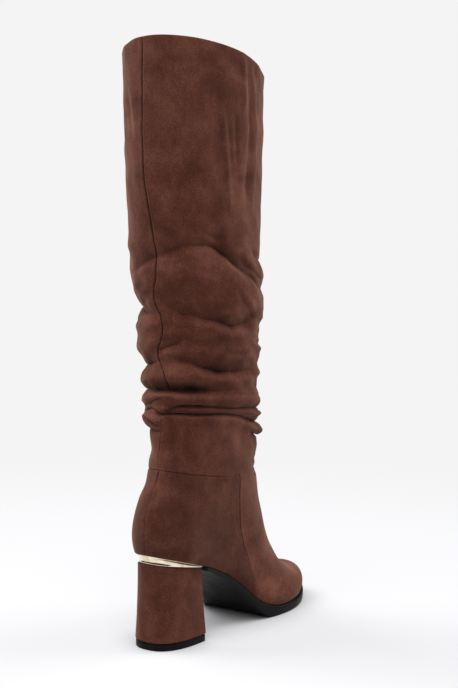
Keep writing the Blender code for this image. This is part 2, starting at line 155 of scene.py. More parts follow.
def paint(piece, name, values, extraRows=(0, 0)):
    # a number for each vertex, which the material reads; the rows beyond the field repeat its edges
    values = np.pad(values, (extraRows, (0, 0)), mode="edge")
    layer = piece.data.attributes.new(name, "FLOAT", "POINT")
    layer.data.foreach_set("value", values.astype(np.float32).ravel())


def denseNear(places, look, period):
    # places round a loop: spacing apart, and fineSpacing apart near the seams
    spots, at = [], 0.0
    while at < period - look["fineSpacing"] / 2:
        spots.append(at)
        gap = min(min(abs(at - p), period - abs(at - p)) for p in places)
        share = float(ease((gap - look["seamWidth"] / 2) / look["seamWidth"]))
        at += mix(look["fineSpacing"], look["spacing"], share)
    return np.array(spots)


seamLook = {"reach": 1.2 * mm, "puffAway": 2.2 * mm, "puffWidth": 1.2 * mm, "sharpness": 1.4}


def seamRelief(away, inSeam, depth, puff):
    # two edges turn in to meet, and the leather beside them stands a little proud
    beside = np.exp(-((away - seamLook["puffAway"]) / seamLook["puffWidth"]) ** 2)
    return puff * beside - depth * inSeam ** seamLook["sharpness"]


def alongSeat(y):
    # 0 at the back of the heel seat, 1 at the breast
    return (y - last["seatBackY"]) / (last["breastY"] - last["seatBackY"])


def alongFoot(y):
    # 0 at the back of the heel seat, 1 at the toe
    return (y - last["seatBackY"]) / last["footLength"]


def alongToe(y):
    # 0 where the sole leaves the floor, 1 at the toe
    return (y - last["treadEnd"]) / (last["toeY"] - last["treadEnd"])


def seatHeight(y):
    return mix(last["heelHeight"], last["breastHeight"], alongSeat(y))


def bedHeight(y):
    # top of the sole: heel seat, shank, tread and toe spring
    share = np.clip((y - last["breastY"]) / (last["treadFlat"] - last["breastY"]), 0, 1)
    fall = curveThrough(last["shank"]["station"], last["shank"]["height"], share)
    ahead = mix(last["soleThickness"], last["breastHeight"], fall)
    ahead = ahead + last["toeSpring"] * np.clip(alongToe(y), 0, 2) ** 2
    return np.where(y <= last["breastY"], seatHeight(y), ahead)


toeHeight = float(bedHeight(np.array(last["toeY"])))


def outlineAt(key, y):
    return last["ballWidth"] * curveThrough(last["outline"]["station"], last["outline"][key], alongFoot(y))


def placeShare(k):
    # k runs from 0 at the back to 20 at the toe, 6 at the breast
    low = seatShare * (1 - np.cos(math.pi / 2 * np.clip(k / 6, 0, 1)))
    high = mix(seatShare, 1.0, np.sin(math.pi / 2 * np.clip((k - 6) / 14, 0, 1)))
    return np.where(k <= 6, low, high)


# Foot part. Level is 0 at the sole and 1 at the ankle, and place runs round it: 0 at the back, 10 on the outer side,
# 20 at the toe and 30 on the inner side.
footLook = {
    "spacing": 0.125, "fineSpacing": 0.035, "seamWidth": 0.35, "rows": 126, "edgeRows": 12,     # columns, in places
    "seamDepth": 0.75 * mm, "seamPuff": 0.14 * mm,
    "seamLevel": (0.00, 0.25, 0.50, 0.75, 1.00),     # where the seams between vamp and quarters run
    "outerSeam": (9.6, 9.5, 9.4, 9.55, 10.0),
    "innerSeam": (30.4, 30.5, 30.6, 30.45, 30.0),
    # how open the seams are: low down, high up, from which level, over how much
    "backOpen": (0.35, 1.0, 0.72, 0.2), "sideOpen": (0.25, 0.85, 0.3, 0.25),
    "seamPull": 5,      # places over which the leather follows a seam's shift
    "toeSwell": 1.5 * mm, "toeReach": 8.5, "toeLow": 0.16, "toeHigh": 0.52,
    "backWaist": 1.6 * mm, "waistReach": 9, "waistLevel": 0.84, "waistHeight": 0.16,
    "lapTuck": 0.9 * mm, "lapLevel": 0.018, "soleTuck": 0.7 * mm, "soleLevel": 0.02,
    # rows turned in at the sole and under the lap: which edge, in and up in mm
    "hems": ((0, 3.0, -0.1), (0, 0.6, -0.15), (-1, 0.3, 1.5), (-1, 1.0, 3.0)),
    "uneven": 0.16 * mm, "unevenWaves": {"seed": 5, "count": 12, "shortest": 0.018, "longest": 0.05},
    # the vamp's and toe's tones are painted light on the front, which faces the lamps
    "quarterTone": 0.78, "vampTone": 1.02, "toeTone": 1.32,
    # back and front edge, fullness, and how far the sole's line, the round heel and the round toe carry up it, by level
    "slices": {
        "backIn": (0.00, -0.12, -0.16, -0.08, 0.12, 0.42, 0.72, 1.00),
        "backUp": (0.00, 0.13, 0.27, 0.42, 0.58, 0.73, 0.87, 1.00),
        "frontOut": (1.00, 1.00, 0.95, 0.79, 0.53, 0.27, 0.10, 0.00),
        "frontUp": (0.00, 0.06, 0.115, 0.175, 0.28, 0.46, 0.71, 1.00),
        "leg": (0.00, 0.10, 0.28, 0.50, 0.72, 0.88, 0.97, 1.00),
        "full": (1.00, 1.06, 1.04, 1.00, 1.00, 1.00, 1.00, 1.00),
        "sag": (1.00, 0.98, 0.90, 0.68, 0.42, 0.20, 0.06, 0.00),
        "tail": (0.13, 0.14, 0.15, 0.18, 0.24, 0.32, 0.42, 0.50),
        "nose": (0.29, 0.29, 0.30, 0.33, 0.38, 0.43, 0.48, 0.50),
    },
}


def footSurface(level, place):
    level, place = np.broadcast_arrays(np.asarray(level, float), np.asarray(place, float))
    stations = np.linspace(0, 1, len(footLook["slices"]["leg"]))
    value = {name: curveThrough(stations, row, np.clip(level, 0, 1)) for name, row in footLook["slices"].items()}
    around = place % 40
    side = np.where(around <= 20, 1.0, -1.0)
    share = placeShare(np.minimum(around, 40 - around))
    backY = mix(last["seatBackY"], last["ankleBackY"], value["backIn"])
    backZ = mix(last["heelHeight"], last["ankleBackZ"], value["backUp"])
    frontY = mix(last["ankleFrontY"], last["toeY"], value["frontOut"])
    frontZ = mix(toeHeight, last["ankleFrontZ"], value["frontUp"])
    y = mix(backY, frontY, share)
    bedY = np.clip(y, last["seatBackY"], last["toeY"])
    sag = bedHeight(bedY) - mix(last["heelHeight"], toeHeight, alongFoot(bedY))
    ankleSag = -last["ankleDip"] * 4 * share * (1 - share)
    z = mix(backZ, frontZ, share) + value["sag"] * sag + value["leg"] ** 4 * ankleSag
    half = mix(value["full"] * outlineAt("half", bedY), last["ankleWidth"] / 2, value["leg"])
    half = half * roundEnd(share, value["tail"]) * roundEnd(1 - share, value["nose"])
    middle = mix(outlineAt("middle", bedY), last["ankleX"], value["leg"])
    return np.stack([middle + side * half, y, z], axis=-1)


def makeFoot():
    look = footLook
    seams = {"back": 0.0, "outerSeam": look["outerSeam"][0], "innerSeam": look["innerSeam"][0]}
    columns = denseNear(seams.values(), look, 40.0)
    levels = np.concatenate([np.linspace(0, 0.04, look["edgeRows"], endpoint=False),
                             np.linspace(0.04, 0.96, look["rows"]),
                             np.linspace(0.96, 1.0, look["edgeRows"] + 1)[1:]])
    level = levels[:, None]
    place = np.broadcast_to(columns, (len(levels), len(columns))).copy()
    for key in ("outerSeam", "innerSeam"):
        shift = curveThrough(look["seamLevel"], look[key], level) - seams[key]
        place += shift * ease(1 - np.abs(columns - seams[key]) / look["seamPull"])[None, :]
    base = footSurface(level, place)
    normal = gridNormals(base)
    steps = np.linalg.norm(np.roll(base, -1, axis=1) - base, axis=2)
    reach = np.cumsum(steps, axis=1)
    relief = np.zeros(base.shape[:2])
    seam = np.zeros_like(relief)
    for key, at in seams.items():
        i = int(np.argmin(np.minimum(np.abs(columns - at), 40 - np.abs(columns - at))))
        away = np.abs(reach - reach[:, i:i + 1])
        away = np.minimum(away, steps.sum(axis=1, keepdims=True) - away)
        # below the ankle the back seam is skived flat, and the side seams sink into the nap towards the sole
        low, high, start, run = look["backOpen" if key == "back" else "sideOpen"]
        opened = mix(low, high, ease((level - start) / run))
        inSeam = np.clip(1 - away / seamLook["reach"], 0, 1) * opened
        relief += seamRelief(away, inSeam, look["seamDepth"], look["seamPuff"])
        seam = np.maximum(seam, inSeam)
    share = placeShare(np.minimum(place % 40, 40 - place % 40))
    # fuller at the front of the ankle, as the leg is, and over the toe, and drawn in above the heel
    relief += legLook["frontSwell"] * ease((share - 0.33) / 0.35) * ease((level - 0.55) / 0.3)
    atBack = ease(1 - np.minimum(place, 40 - place) / look["waistReach"])
    relief -= look["backWaist"] * atBack * ease(1 - np.abs(level - look["waistLevel"]) / look["waistHeight"])
    atToe = ease(1 - np.abs(place - 20) / look["toeReach"])
    relief += look["toeSwell"] * atToe * ease(level / look["toeLow"]) * ease((look["toeHigh"] - level) / 0.22)
    # the edges tuck under the leg's lap and down to the sole
    relief -= look["lapTuck"] * ease(1 - (1 - level) / look["lapLevel"])
    relief -= look["soleTuck"] * ease(1 - level / look["soleLevel"])
    relief += look["uneven"] * waves(base[..., 1], base[..., 2] + 0.6 * base[..., 0], **look["unevenWaves"])
    outer = base + normal * relief[..., None]
    hems = [outer[row] - normal[row] * inward * mm + up * height * mm for row, inward, height in look["hems"]]
    foot = gridPiece("foot", np.concatenate([hems[:2], outer, hems[2:]]))
    paint(foot, "seam", seam, (2, 2))
    # painted light: the vamp is painted paler than the quarters, and palest at the toe, as the front faces the lamps
    onVamp = np.broadcast_to(ease((10.55 - np.abs(columns - 20)) / 0.3), place.shape)
    nearToe = np.maximum(onVamp, ease((share - 0.5) / 0.3))
    vamp = mix(look["vampTone"], look["toeTone"], ease((0.75 - level) / 0.5))
    tone = mix(look["quarterTone"], vamp, mix(onVamp, nearToe, ease((0.35 - level) / 0.3)))
    paint(foot, "tone", tone, (2, 2))
    return foot


# Leg. Turn is degrees from the back by the outer side, and rise runs from 0 at the ankle seam to 1 at the collar.
legLook = {
    "spacing": 1.45, "fineSpacing": 0.35, "seamWidth": 4.0,      # columns, in degrees
    # rows of the mesh: from rise, to rise, how many
    "bands": ((0.0, .004, 6), (.004, .08, 24), (.08, .225, 118), (.225, .58, 108), (.58, 1.0, 56)),
    "radius": 56 * mm, "foldRadius": 52 * mm, "degree": 1.05 * mm,      # what a degree spans on the calf
    # how far the leg leans back, and its depth and width in shares of the calf's
    "shape": {
        "rise": (0.00, 0.10, 0.20, 0.30, 0.38, 0.45, 0.54, 0.65, 0.79, 1.00),
        "back": (0.000, -0.026, 0.002, 0.021, 0.028, 0.042, 0.068, 0.081, 0.081, 0.086),
        "depth": (0.908, 0.896, 0.850, 0.812, 0.826, 0.870, 0.900, 0.942, 0.986, 1.00),
        "width": (0.632, 0.680, 0.825, 0.889, 0.928, 0.950, 0.955, 0.966, 0.975, 1.00),
    },
    # the back seam: where it wanders to, in degrees, and how open it is
    "seamRise": (0.00, 0.09, 0.15, 0.19, 0.22, 0.27, 0.325, 0.36, 0.40, 0.45, 0.51, 0.56, 0.62, 0.69, 0.80, 1.00),
    "seamTurn": (-2.0, -2.0, 0.5, 3.0, 5.0, -5.0, 2.0, 1.0, -6.0, 0.0, 2.4, 1.5, -1.0, -4.0, -4.0, -2.0),
    "openRise": (0.00, 0.115, 0.135, 0.178, 0.196, 1.00),
    "open": (0.65, 0.55, 0.20, 0.20, 1.00, 1.00),
    "seamPull": 45.0, "seamDepth": 0.9 * mm, "seamReach": 1.3 * mm, "seamPuff": 0.18 * mm,
    # how far the collar dips below its slanting plane, in mm
    "collarTurn": (-150, -100, -55, -30, -13, 5, 40, 63, 80, 93, 102, 113, 125, 150, 210),
    "collarDip": (10.0, 8.5, 5.0, 3.2, 1.0, 0.0, 0.0, 0.8, 1.8, 3.0, 4.8, 7.0, 9.0, 10.0, 10.0),
    "rimRadius": 0.8 * mm, "facing": 12 * mm, "facingLean": 0.2 * mm,
    "facingLine": 0.16 * mm, "facingLineAt": 11 * mm, "facingLineWidth": 1.2 * mm,
    "lap": 0.55 * mm, "lapMiddle": 2.2 * mm, "lapWidth": 3.2 * mm,
    "frontSwell": 2.2 * mm, "frontFrom": 70, "frontRun": 50, "frontHigh": 0.07,     # push, degrees, degrees, rise
    "hem": ((1.9, 0.5), (1.5, -0.05), (0.8, -0.45), (0.25, -0.35)),      # edge turned in under the lap: in and up, mm
    "uneven": 0.34 * mm, "unevenWaves": {"seed": 11, "count": 14, "shortest": 0.016, "longest": 0.060},
    "wrinkle": 0.30 * mm, "slumpFrom": 0.09, "slumpTo": 0.58,
    "wrinkleWaves": {"seed": 29, "count": 16, "shortest": 0.007, "longest": 0.018, "stretch": 2.8},
    "wander": 0.7 * mm, "wanderFrom": 0.165,
    "wanderWaves": {"seed": 47, "count": 12, "shortest": 0.010, "longest": 0.032, "stretch": 1.4},
    # tone, painted shade: how dark creases and hollows are painted, how far a crease's shade reaches in mm, and how
    # much it breaks up
    "creaseShade": 0.60, "hollowShade": 0.16, "shadeAbove": 11.0, "shadeBelow": 3.0, "shadeBreak": 0.4,
    "shadeFrom": 0.3, "fullShadeDepth": 6.0,      # least sharpness of a shaded crease, and depth of a dark one in mm
    "breakWaves": {"seed": 53, "count": 16, "shortest": 0.006, "longest": 0.020, "stretch": 1.6},
    # soft upright drapes: top and bottom as (turn, rise), push and half width in mm
    "drapes": (
        ((86, .985), (88, .840), 0.9, 4.5), ((96, .985), (106, .820), 0.9, 5.0), ((91, .970), (97, .800), -0.9, 4.0),
        ((66, .850), (74, .600), 1.0, 4.0), ((78, .860), (82, .660), -1.2, 4.0), ((96, .840), (90, .640), -1.3, 5.0),
        ((104, .860), (98, .620), 0.9, 6.0), ((72, .820), (80, .640), -0.9, 4.0), ((-26, .900), (-16, .760), -0.8, 6.0),
        ((-36, .960), (-34, .720), 0.6, 7.0), ((150, .960), (146, .700), -0.7, 7.0),
        ((186, .980), (190, .720), 0.7, 8.0), ((228, .960), (232, .700), -0.7, 8.0),
        ((262, .980), (256, .740), 0.7, 7.0), ((296, .960), (300, .720), -0.6, 8.0),
    ),
    # folds: reach above and below the line in mm, sharp (1 crisp, 0 round), droop in mm over the line, then points
    # along the line: turn, rise, push in mm
    "folds": (
        # arch where the top of the leg starts to slump
        (13, 8, 0.4, 0.8, ((-48, .468, 0), (-27, .479, -1.5), (-4, .500, -2.2), (11, .511, -2.6), (26, .526, -3.2),
            (44, .538, -3.4), (58, .539, -4.4), (68, .524, -5.2), (80, .505, -5.0), (97, .486, -2.8),
            (108, .472, -0.8), (117, .464, 0))),
        (13, 9, 0.0, 0.0, ((88, .486, 0), (106, .496, 2.0), (124, .506, 3.8), (146, .506, 3.4), (172, .498, 0))),
        (6, 6, 0.0, 0.0, ((100, .389, 0), (116, .388, -1.5), (132, .388, -1.5), (150, .388, 0))),
        (8, 6, 0.0, 0.0, ((92, .326, 0), (112, .328, 1.8), (130, .328, 2.0), (154, .322, 0))),
        (7, 8, 0.0, 0.0, ((92, .268, 0), (112, .270, 2.0), (130, .270, 2.2), (154, .264, 0))),
        (7, 5, 0.4, 0.0, ((78, .530, 0), (89, .519, -1.6), (99, .509, -2.0), (113, .494, -1.6), (134, .476, 0))),
        (9, 9, 0.0, 0.0, ((52, .575, 0), (61, .566, -1.2), (68, .556, 0))),
        (5, 4, 0.4, 0.0, ((96, .553, 0), (112, .551, -2.2), (128, .549, -2.2), (150, .545, 0))),
        (24, 26, 0.0, 0.0, ((-14, .425, 0), (14, .452, 2.4), (52, .470, 3.6), (84, .450, 3.2), (108, .434, 2.6),
            (130, .428, 2.2), (166, .430, 0))),
        (5, 5, 0.0, 0.0, ((80, .497, 0), (96, .478, 1.2), (108, .460, 0.5), (120, .448, 0.2), (138, .440, 0))),
        (16, 16, 0.0, 0.0, ((-66, .450, 0), (-40, .440, 1.6), (-14, .440, 1.0), (4, .440, 0))),
        (5, 5, 0.5, 0.4, ((46, .566, 0), (53, .567, -1.5), (60, .566, -1.8), (68, .560, 0))),
        (6, 7, 0.5, 0.4, ((74, .442, 0), (81, .430, -2.0), (88, .420, -2.4), (97, .404, -1.6), (104, .392, 0))),
        (14, 14, 0.0, 0.0, ((-92, .548, 0), (-60, .545, 1.7), (-38, .541, 1.5), (-12, .540, 0))),
        (12, 12, 0.0, 0.0, ((-92, .045, 0), (-56, .042, -1.7), (-30, .040, -1.4), (-4, .040, 0))),
        # notches down the inner back: a slow taper above, a crisp step below
        (24, 8, 0.6, 1.0, ((-84, .404, 0), (-60, .398, -5.6), (-40, .388, -6.2), (-26, .376, -4.6), (-14, .371, -2.8),
            (-3, .368, -1.4), (8, .366, 0))),
        (9, 12, 0.0, 0.0, ((-96, .350, 0), (-58, .346, 2.8), (-30, .344, 2.6), (-8, .345, 1.4), (8, .346, 0))),
        (13, 12, 0.0, 0.0, ((-96, .304, 0), (-60, .300, 3.4), (-34, .298, 3.2), (-10, .298, 1.6), (4, .300, 0))),
        (13, 8, 0.7, 1.4, ((-84, .262, 0), (-58, .256, -6.6), (-36, .252, -6.8), (-19, .250, -5.0), (-8, .253, -2.6),
            (6, .256, 0))),
        (8, 8, 0.2, 0.0, ((-80, .216, 0), (-56, .214, 3.2), (-30, .214, 2.8), (-8, .216, 1.4), (6, .218, 0))),
        (16, 15, 0.0, 0.0, ((-100, .490, 0), (-62, .486, 2.6), (-34, .482, 1.8), (-10, .480, 0))),
        (7, 6, 0.0, 0.0, ((-86, .166, 0), (-60, .164, 3.6), (-38, .163, 2.6), (-18, .164, 1.0), (-4, .164, 0))),
        # second slump
        (17, 9, 0.45, 1.0, ((6, .392, 0), (14, .380, -1.8), (24, .371, -3.2), (34, .373, -3.4), (46, .367, -3.6),
            (58, .368, -4.6), (68, .362, -5.0), (80, .366, -4.8), (93, .382, -3.8), (106, .404, -2.0),
            (124, .420, 0))),
        (4, 13, 0.0, 0.0, ((8, .360, 0), (26, .352, 0.8), (50, .351, 1.0), (72, .345, 1.2), (90, .352, 1.4),
            (106, .372, 0.8), (122, .380, 0))),
        (9, 9, 0.2, 0.0, ((74, .410, 0), (84, .404, -1.8), (94, .398, 0))),
        (9, 6, 0.6, 0.6, ((-6, .281, 0), (2, .287, -3.0), (9, .294, -3.6), (18, .305, -2.8), (30, .315, -1.2),
            (44, .320, 0))),
        (7, 8, 0.0, 0.0, ((-2, .268, 0), (12, .276, 1.7), (30, .286, 1.8), (52, .292, 1.4), (80, .298, 1.4),
            (108, .306, 0.5), (134, .310, 0))),
        (4, 5, 0.4, 0.0, ((92, .345, 0), (108, .342, -1.8), (126, .340, -2.2), (146, .338, 0))),
        # third slump
        (13, 8, 0.5, 0.9, ((8, .272, 0), (20, .259, -3.2), (31, .257, -3.6), (40, .252, -4.8), (52, .247, -6.0),
            (64, .249, -5.6), (76, .254, -3.8), (90, .261, -1.4), (104, .268, 0))),
        (6, 10, 0.0, 0.0, ((14, .240, 0), (30, .238, 1.6), (56, .232, 1.6), (84, .238, 1.2), (112, .244, -0.8),
            (136, .244, -0.8), (160, .250, 0))),
        (10, 7, 0.3, 0.0, ((0, .206, 0), (10, .204, -2.8), (26, .205, -3.8), (40, .209, -2.6), (52, .213, 0))),
        (6, 5, 0.4, 0.4, ((12, .276, 0), (20, .273, -1.4), (30, .271, -1.6), (40, .268, 0))),
        (5, 5, 0.4, 0.4, ((62, .300, 0), (72, .296, -1.3), (84, .300, -1.4), (96, .308, 0))),
        # deepest crease, over the thin rolls
        (14, 4.0, 0.35, 2.6, ((-76, .200, 0), (-52, .196, -2.4), (-31, .193, -4.8), (-14, .188, -7.6),
            (3, .187, -9.6), (16, .189, -9.8), (28, .192, -8.4), (41, .197, -6.4), (54, .202, -3.2), (66, .207, -1.2),
            (82, .212, -0.5), (98, .219, -0.7), (112, .223, -0.9), (128, .222, -0.9), (150, .216, 0))),
        (3.5, 6.5, 0.0, 0.0, ((-66, .176, 0), (-44, .176, 1.8), (-14, .174, 1.4), (14, .176, 2.0), (44, .182, 1.6),
            (76, .190, 1.4), (104, .195, 2.2), (132, .193, 2.2), (160, .190, 0))),
        (5, 3.4, 0.9, 1.2, ((-50, .152, 0), (-38, .155, -1.4), (-20, .160, -2.8), (-8, .166, -2.2), (3, .170, 0))),
        (9, 9, 0.0, 0.0, ((-2, .224, 0), (14, .224, 1.8), (34, .226, 1.8), (52, .228, 1.0), (64, .228, 0))),
        # crisp pair of creases with a thin roll between them
        (6.0, 4.0, 0.8, 2.6, ((4, .146, 0), (12, .151, -3.4), (21, .159, -4.8), (35, .164, -5.2), (53, .167, -5.4),
            (77, .170, -5.4), (96, .173, -5.6), (125, .174, -5.4), (152, .172, -2.8), (172, .170, 0))),
        (3, 3, 0.0, 0.0, ((-20, .148, 0), (6, .147, 1.4), (35, .153, 1.6), (64, .161, 1.5), (96, .161, 1.8),
            (124, .156, 3.0), (150, .154, 2.0), (172, .154, 0))),
        (1.5, 1.4, 1.0, 0.6, ((20, .142, 0), (28, .147, -1.2), (38, .152, -1.2), (50, .156, 0))),
        (5.6, 4.4, 0.65, 2.6, ((-12, .133, 0), (-4, .133, -5.2), (8, .137, -7.4), (21, .140, -7.2), (35, .142, -6.6),
            (50, .146, -6.0), (64, .151, -5.2), (81, .152, -5.0), (97, .147, -5.6), (123, .136, -4.2),
            (150, .131, -3.0), (174, .130, 0))),
        (2, 6, 0.3, 0.0, ((92, .147, 0), (108, .139, -1.8), (123, .132, -2.2), (146, .128, 0))),
        (4, 8, 0.0, 0.0, ((-4, .122, 0), (20, .124, 1.0), (50, .130, 1.0), (80, .134, 1.0), (100, .126, 1.4),
            (120, .120, 0))),
        # lip at the front and the knot at the back
        (7, 7, 0.0, 0.0, ((94, .120, 0), (110, .117, 3.4), (126, .114, 5.2), (144, .112, 4.4), (168, .112, 0))),
        (5, 4, 0.9, 2.2, ((96, .117, 0), (105, .112, -1.6), (114, .105, -4.0), (130, .099, -5.2), (150, .094, -3.0),
            (172, .090, 0))),
        (8, 7, 0.0, 0.0, ((-84, .134, 0), (-56, .129, 5.2), (-38, .124, 6.2), (-24, .115, 5.2), (-12, .108, 2.8),
            (0, .101, 0))),
        (3.2, 2.4, 1.0, 1.4, ((-52, .129, 0), (-43, .134, -1.6), (-32, .142, -2.4), (-20, .1445, -3.2),
            (-9, .139, -3.6), (0, .134, -1.8), (8, .132, 0))),
        (2.6, 2.2, 0.2, 0.0, ((-44, .143, 0), (-34, .137, 2.0), (-24, .129, 2.8), (-14, .121, 3.0), (-7, .114, 2.4),
            (-1, .109, 0))),
        (2.6, 2.4, 0.7, 0.8, ((-56, .144, 0), (-46, .137, -3.2), (-37, .128, -5.2), (-27, .119, -5.6),
            (-17, .111, -4.0), (-8, .105, -1.8), (-2, .101, 0))),
        (5, 4, 0.0, 0.0, ((-96, .146, 0), (-66, .146, 3.0), (-44, .146, 2.0), (-30, .148, 0))),
        (4.4, 4.0, 0.9, 2.6, ((-78, .110, 0), (-54, .106, -3.2), (-38, .102, -3.8), (-26, .097, -3.4),
            (-14, .092, -2.4), (-4, .090, -1.0), (4, .089, 0))),
        (8, 8, 0.0, 0.0, ((96, .070, 0), (114, .068, 1.2), (132, .066, 1.2), (152, .064, 0))),
        (4, 5, 0.0, 0.0, ((98, .018, 0), (114, .019, 1.7), (132, .019, 1.7), (152, .018, 0))),
        (4, 4, 0.2, 0.0, ((100, .034, 0), (116, .032, -1.2), (132, .032, -1.4), (150, .032, 0))),
        # front and inner side, out of the photograph's sight
        (16, 9, 0.2, 0.8, ((112, .488, 0), (140, .512, -2.4), (190, .538, -3.4), (240, .520, -3.4), (286, .486, -2.4),
            (312, .470, 0))),
        (18, 20, 0.0, 0.0, ((130, .430, 0), (170, .448, 2.6), (220, .460, 3.0), (270, .446, 2.4), (310, .440, 0))),
        (16, 5, 0.5, 1.0, ((118, .352, 0), (140, .362, -3.0), (176, .374, -4.4), (206, .356, -3.8), (236, .336, 0))),
        (14, 5, 0.5, 1.0, ((206, .412, 0), (234, .402, -3.0), (262, .394, -4.0), (288, .400, -3.0), (310, .408, 0))),
        (7, 12, 0.0, 0.0, ((132, .312, 0), (170, .322, 2.4), (220, .330, 2.8), (270, .334, 2.6), (306, .336, 0))),
        (13, 5, 0.5, 1.2, ((104, .276, 0), (136, .272, -3.6), (180, .266, -5.0), (230, .258, -5.0), (276, .250, -3.8),
            (302, .246, 0))),
        (6, 8, 0.0, 0.0, ((136, .238, 0), (176, .236, 2.6), (226, .228, 3.0), (272, .218, 2.4), (312, .214, 0))),
        (10, 3, 0.6, 1.8, ((134, .228, 0), (164, .218, -3.4), (206, .206, -5.2), (254, .196, -5.4), (296, .186, -4.0),
            (326, .180, 0))),
        (3.5, 6, 0.0, 0.0, ((148, .194, 0), (190, .184, 2.2), (240, .174, 2.4), (290, .166, 2.0), (318, .162, 0))),
        (3.4, 2.6, 0.8, 2.0, ((140, .170, 0), (172, .164, -3.2), (216, .156, -3.8), (262, .150, -3.2),
            (294, .146, 0))),
        (3.4, 3, 0.8, 2.0, ((150, .128, 0), (184, .122, -3.4), (232, .116, -3.8), (286, .110, -3.0), (322, .104, 0))),
        (7, 8, 0.0, 0.0, ((146, .098, 0), (190, .092, 1.8), (240, .088, 2.0), (290, .086, 1.8), (322, .084, 0))),
    ),
}


def foldProfile(t, sharp):
    # 1 on the line, 0 from t = 1 on: a soft swell, or two round rolls that meet
    return mix(swell(t), 1 - np.sqrt(1 - (1 - t) ** 2), sharp)


def foldField(turn, rise):
    # push of the wall and droop of the cloth, in metres, and the creases' painted shade
    look = legLook
    push = np.zeros(np.broadcast(turn, rise).shape)
    droop, shade = np.zeros_like(push), np.zeros_like(push)
    roundAt, heightAt = np.radians(turn) * look["foldRadius"], rise * legRun
    # no crease runs quite true, and its painted shade breaks up in patches
    wander = look["wander"] / legRun * waves(roundAt, heightAt, **look["wanderWaves"])
    broken = 1 + look["shadeBreak"] * waves(roundAt, heightAt, **look["breakWaves"])
    rise = rise + wander * ease((rise - look["wanderFrom"]) / 0.05)
    for above, below, sharp, sagging, line in look["folds"]:
        turns, rises, pushes = (np.array(column, float) for column in zip(*line))
        along = turns[0] + (turn - turns[0]) % 360
        inside = along <= turns[-1]
        along = np.clip(along, turns[0], turns[-1])
        centre = curveThrough(turns, rises, along)
        degreeOn = curveThrough(turns, rises, np.clip(along + 1, turns[0], turns[-1]))
        slope = (degreeOn - centre) * legRun / look["degree"]
        away = (rise - centre) * legRun / np.sqrt(1 + slope ** 2) / mm
        depth = np.where(inside, curveThrough(turns, pushes, along), 0.0)
        t = np.clip(np.abs(away) / np.where(away > 0, above, below), 0, 1)
        push += depth * foldProfile(t, sharp)
        if sharp >= look["shadeFrom"]:
            reach = np.where(away > 0, min(above, look["shadeAbove"]), min(below, look["shadeBelow"]))
            near = np.clip(1 - np.abs(away) / reach, 0, 1)
            deep = np.clip(-depth / look["fullShadeDepth"], 0, 1.3)
            shade = np.maximum(shade, deep * near ** (2.2 - deep))
        if sagging:
            strength = np.clip(-depth / max(1e-6, -pushes.min()), 0, 1)
            lift = np.where(away > 0, ease(away / 1.5), 0.0) * ease(1 - (away - 1.5) / (above + 3.0))
            droop += sagging * strength * lift
    for (topTurn, topRise), (lowTurn, lowRise), depth, width in look["drapes"]:
        share = np.clip((rise - lowRise) / (topRise - lowRise), 0, 1)
        off = (turn - mix(lowTurn, topTurn, share) + 180) % 360 - 180
        t = np.clip(np.abs(off) * look["degree"] / (width * mm), 0, 1)
        fade = ease((rise - lowRise) / 0.06) * ease((topRise + 0.03 - rise) / 0.06)
        push += depth * fade * swell(t)
    return push * mm, droop * mm, shade * np.clip(broken, 0.2, 1.4)


def legSurface(turn, rise, push, droop):
    angle = np.radians(turn)
    across, along = np.sin(angle), -np.cos(angle)
    share = (1 + along) / 2
    seamX = last["ankleX"] + last["ankleWidth"] / 2 * across
    seamY = mix(last["ankleBackY"], last["ankleFrontY"], share)
    seamZ = mix(last["ankleBackZ"], last["ankleFrontZ"], share) - last["ankleDip"] * 4 * share * (1 - share)
    shape = legLook["shape"]
    back, depth, width = (curveThrough(shape["rise"], shape[name], rise) for name in ("back", "depth", "width"))
    centreY = (last["ankleBackY"] + last["ankleFrontY"]) / 2 - last["calfDepth"] * back
    halfDepth, halfWidth = last["calfDepth"] / 2 * depth, last["calfWidth"] / 2 * width
    slope = np.hypot(across / halfWidth, along / halfDepth)
    x = last["ankleX"] * (1 - rise) + halfWidth * across + push * across / halfWidth / slope
    y = centreY + halfDepth * along + push * along / halfDepth / slope
    blend = ease(rise / 0.05)
    dip = curveThrough(legLook["collarTurn"], legLook["collarDip"], (turn + 150) % 360 - 150)
    top = last["collarZ"] - last["collarDrop"] * share + last["collarTilt"] * across - dip * mm
    return np.stack([mix(seamX, x, blend), mix(seamY, y, blend), mix(seamZ, top, rise) - droop], axis=-1)


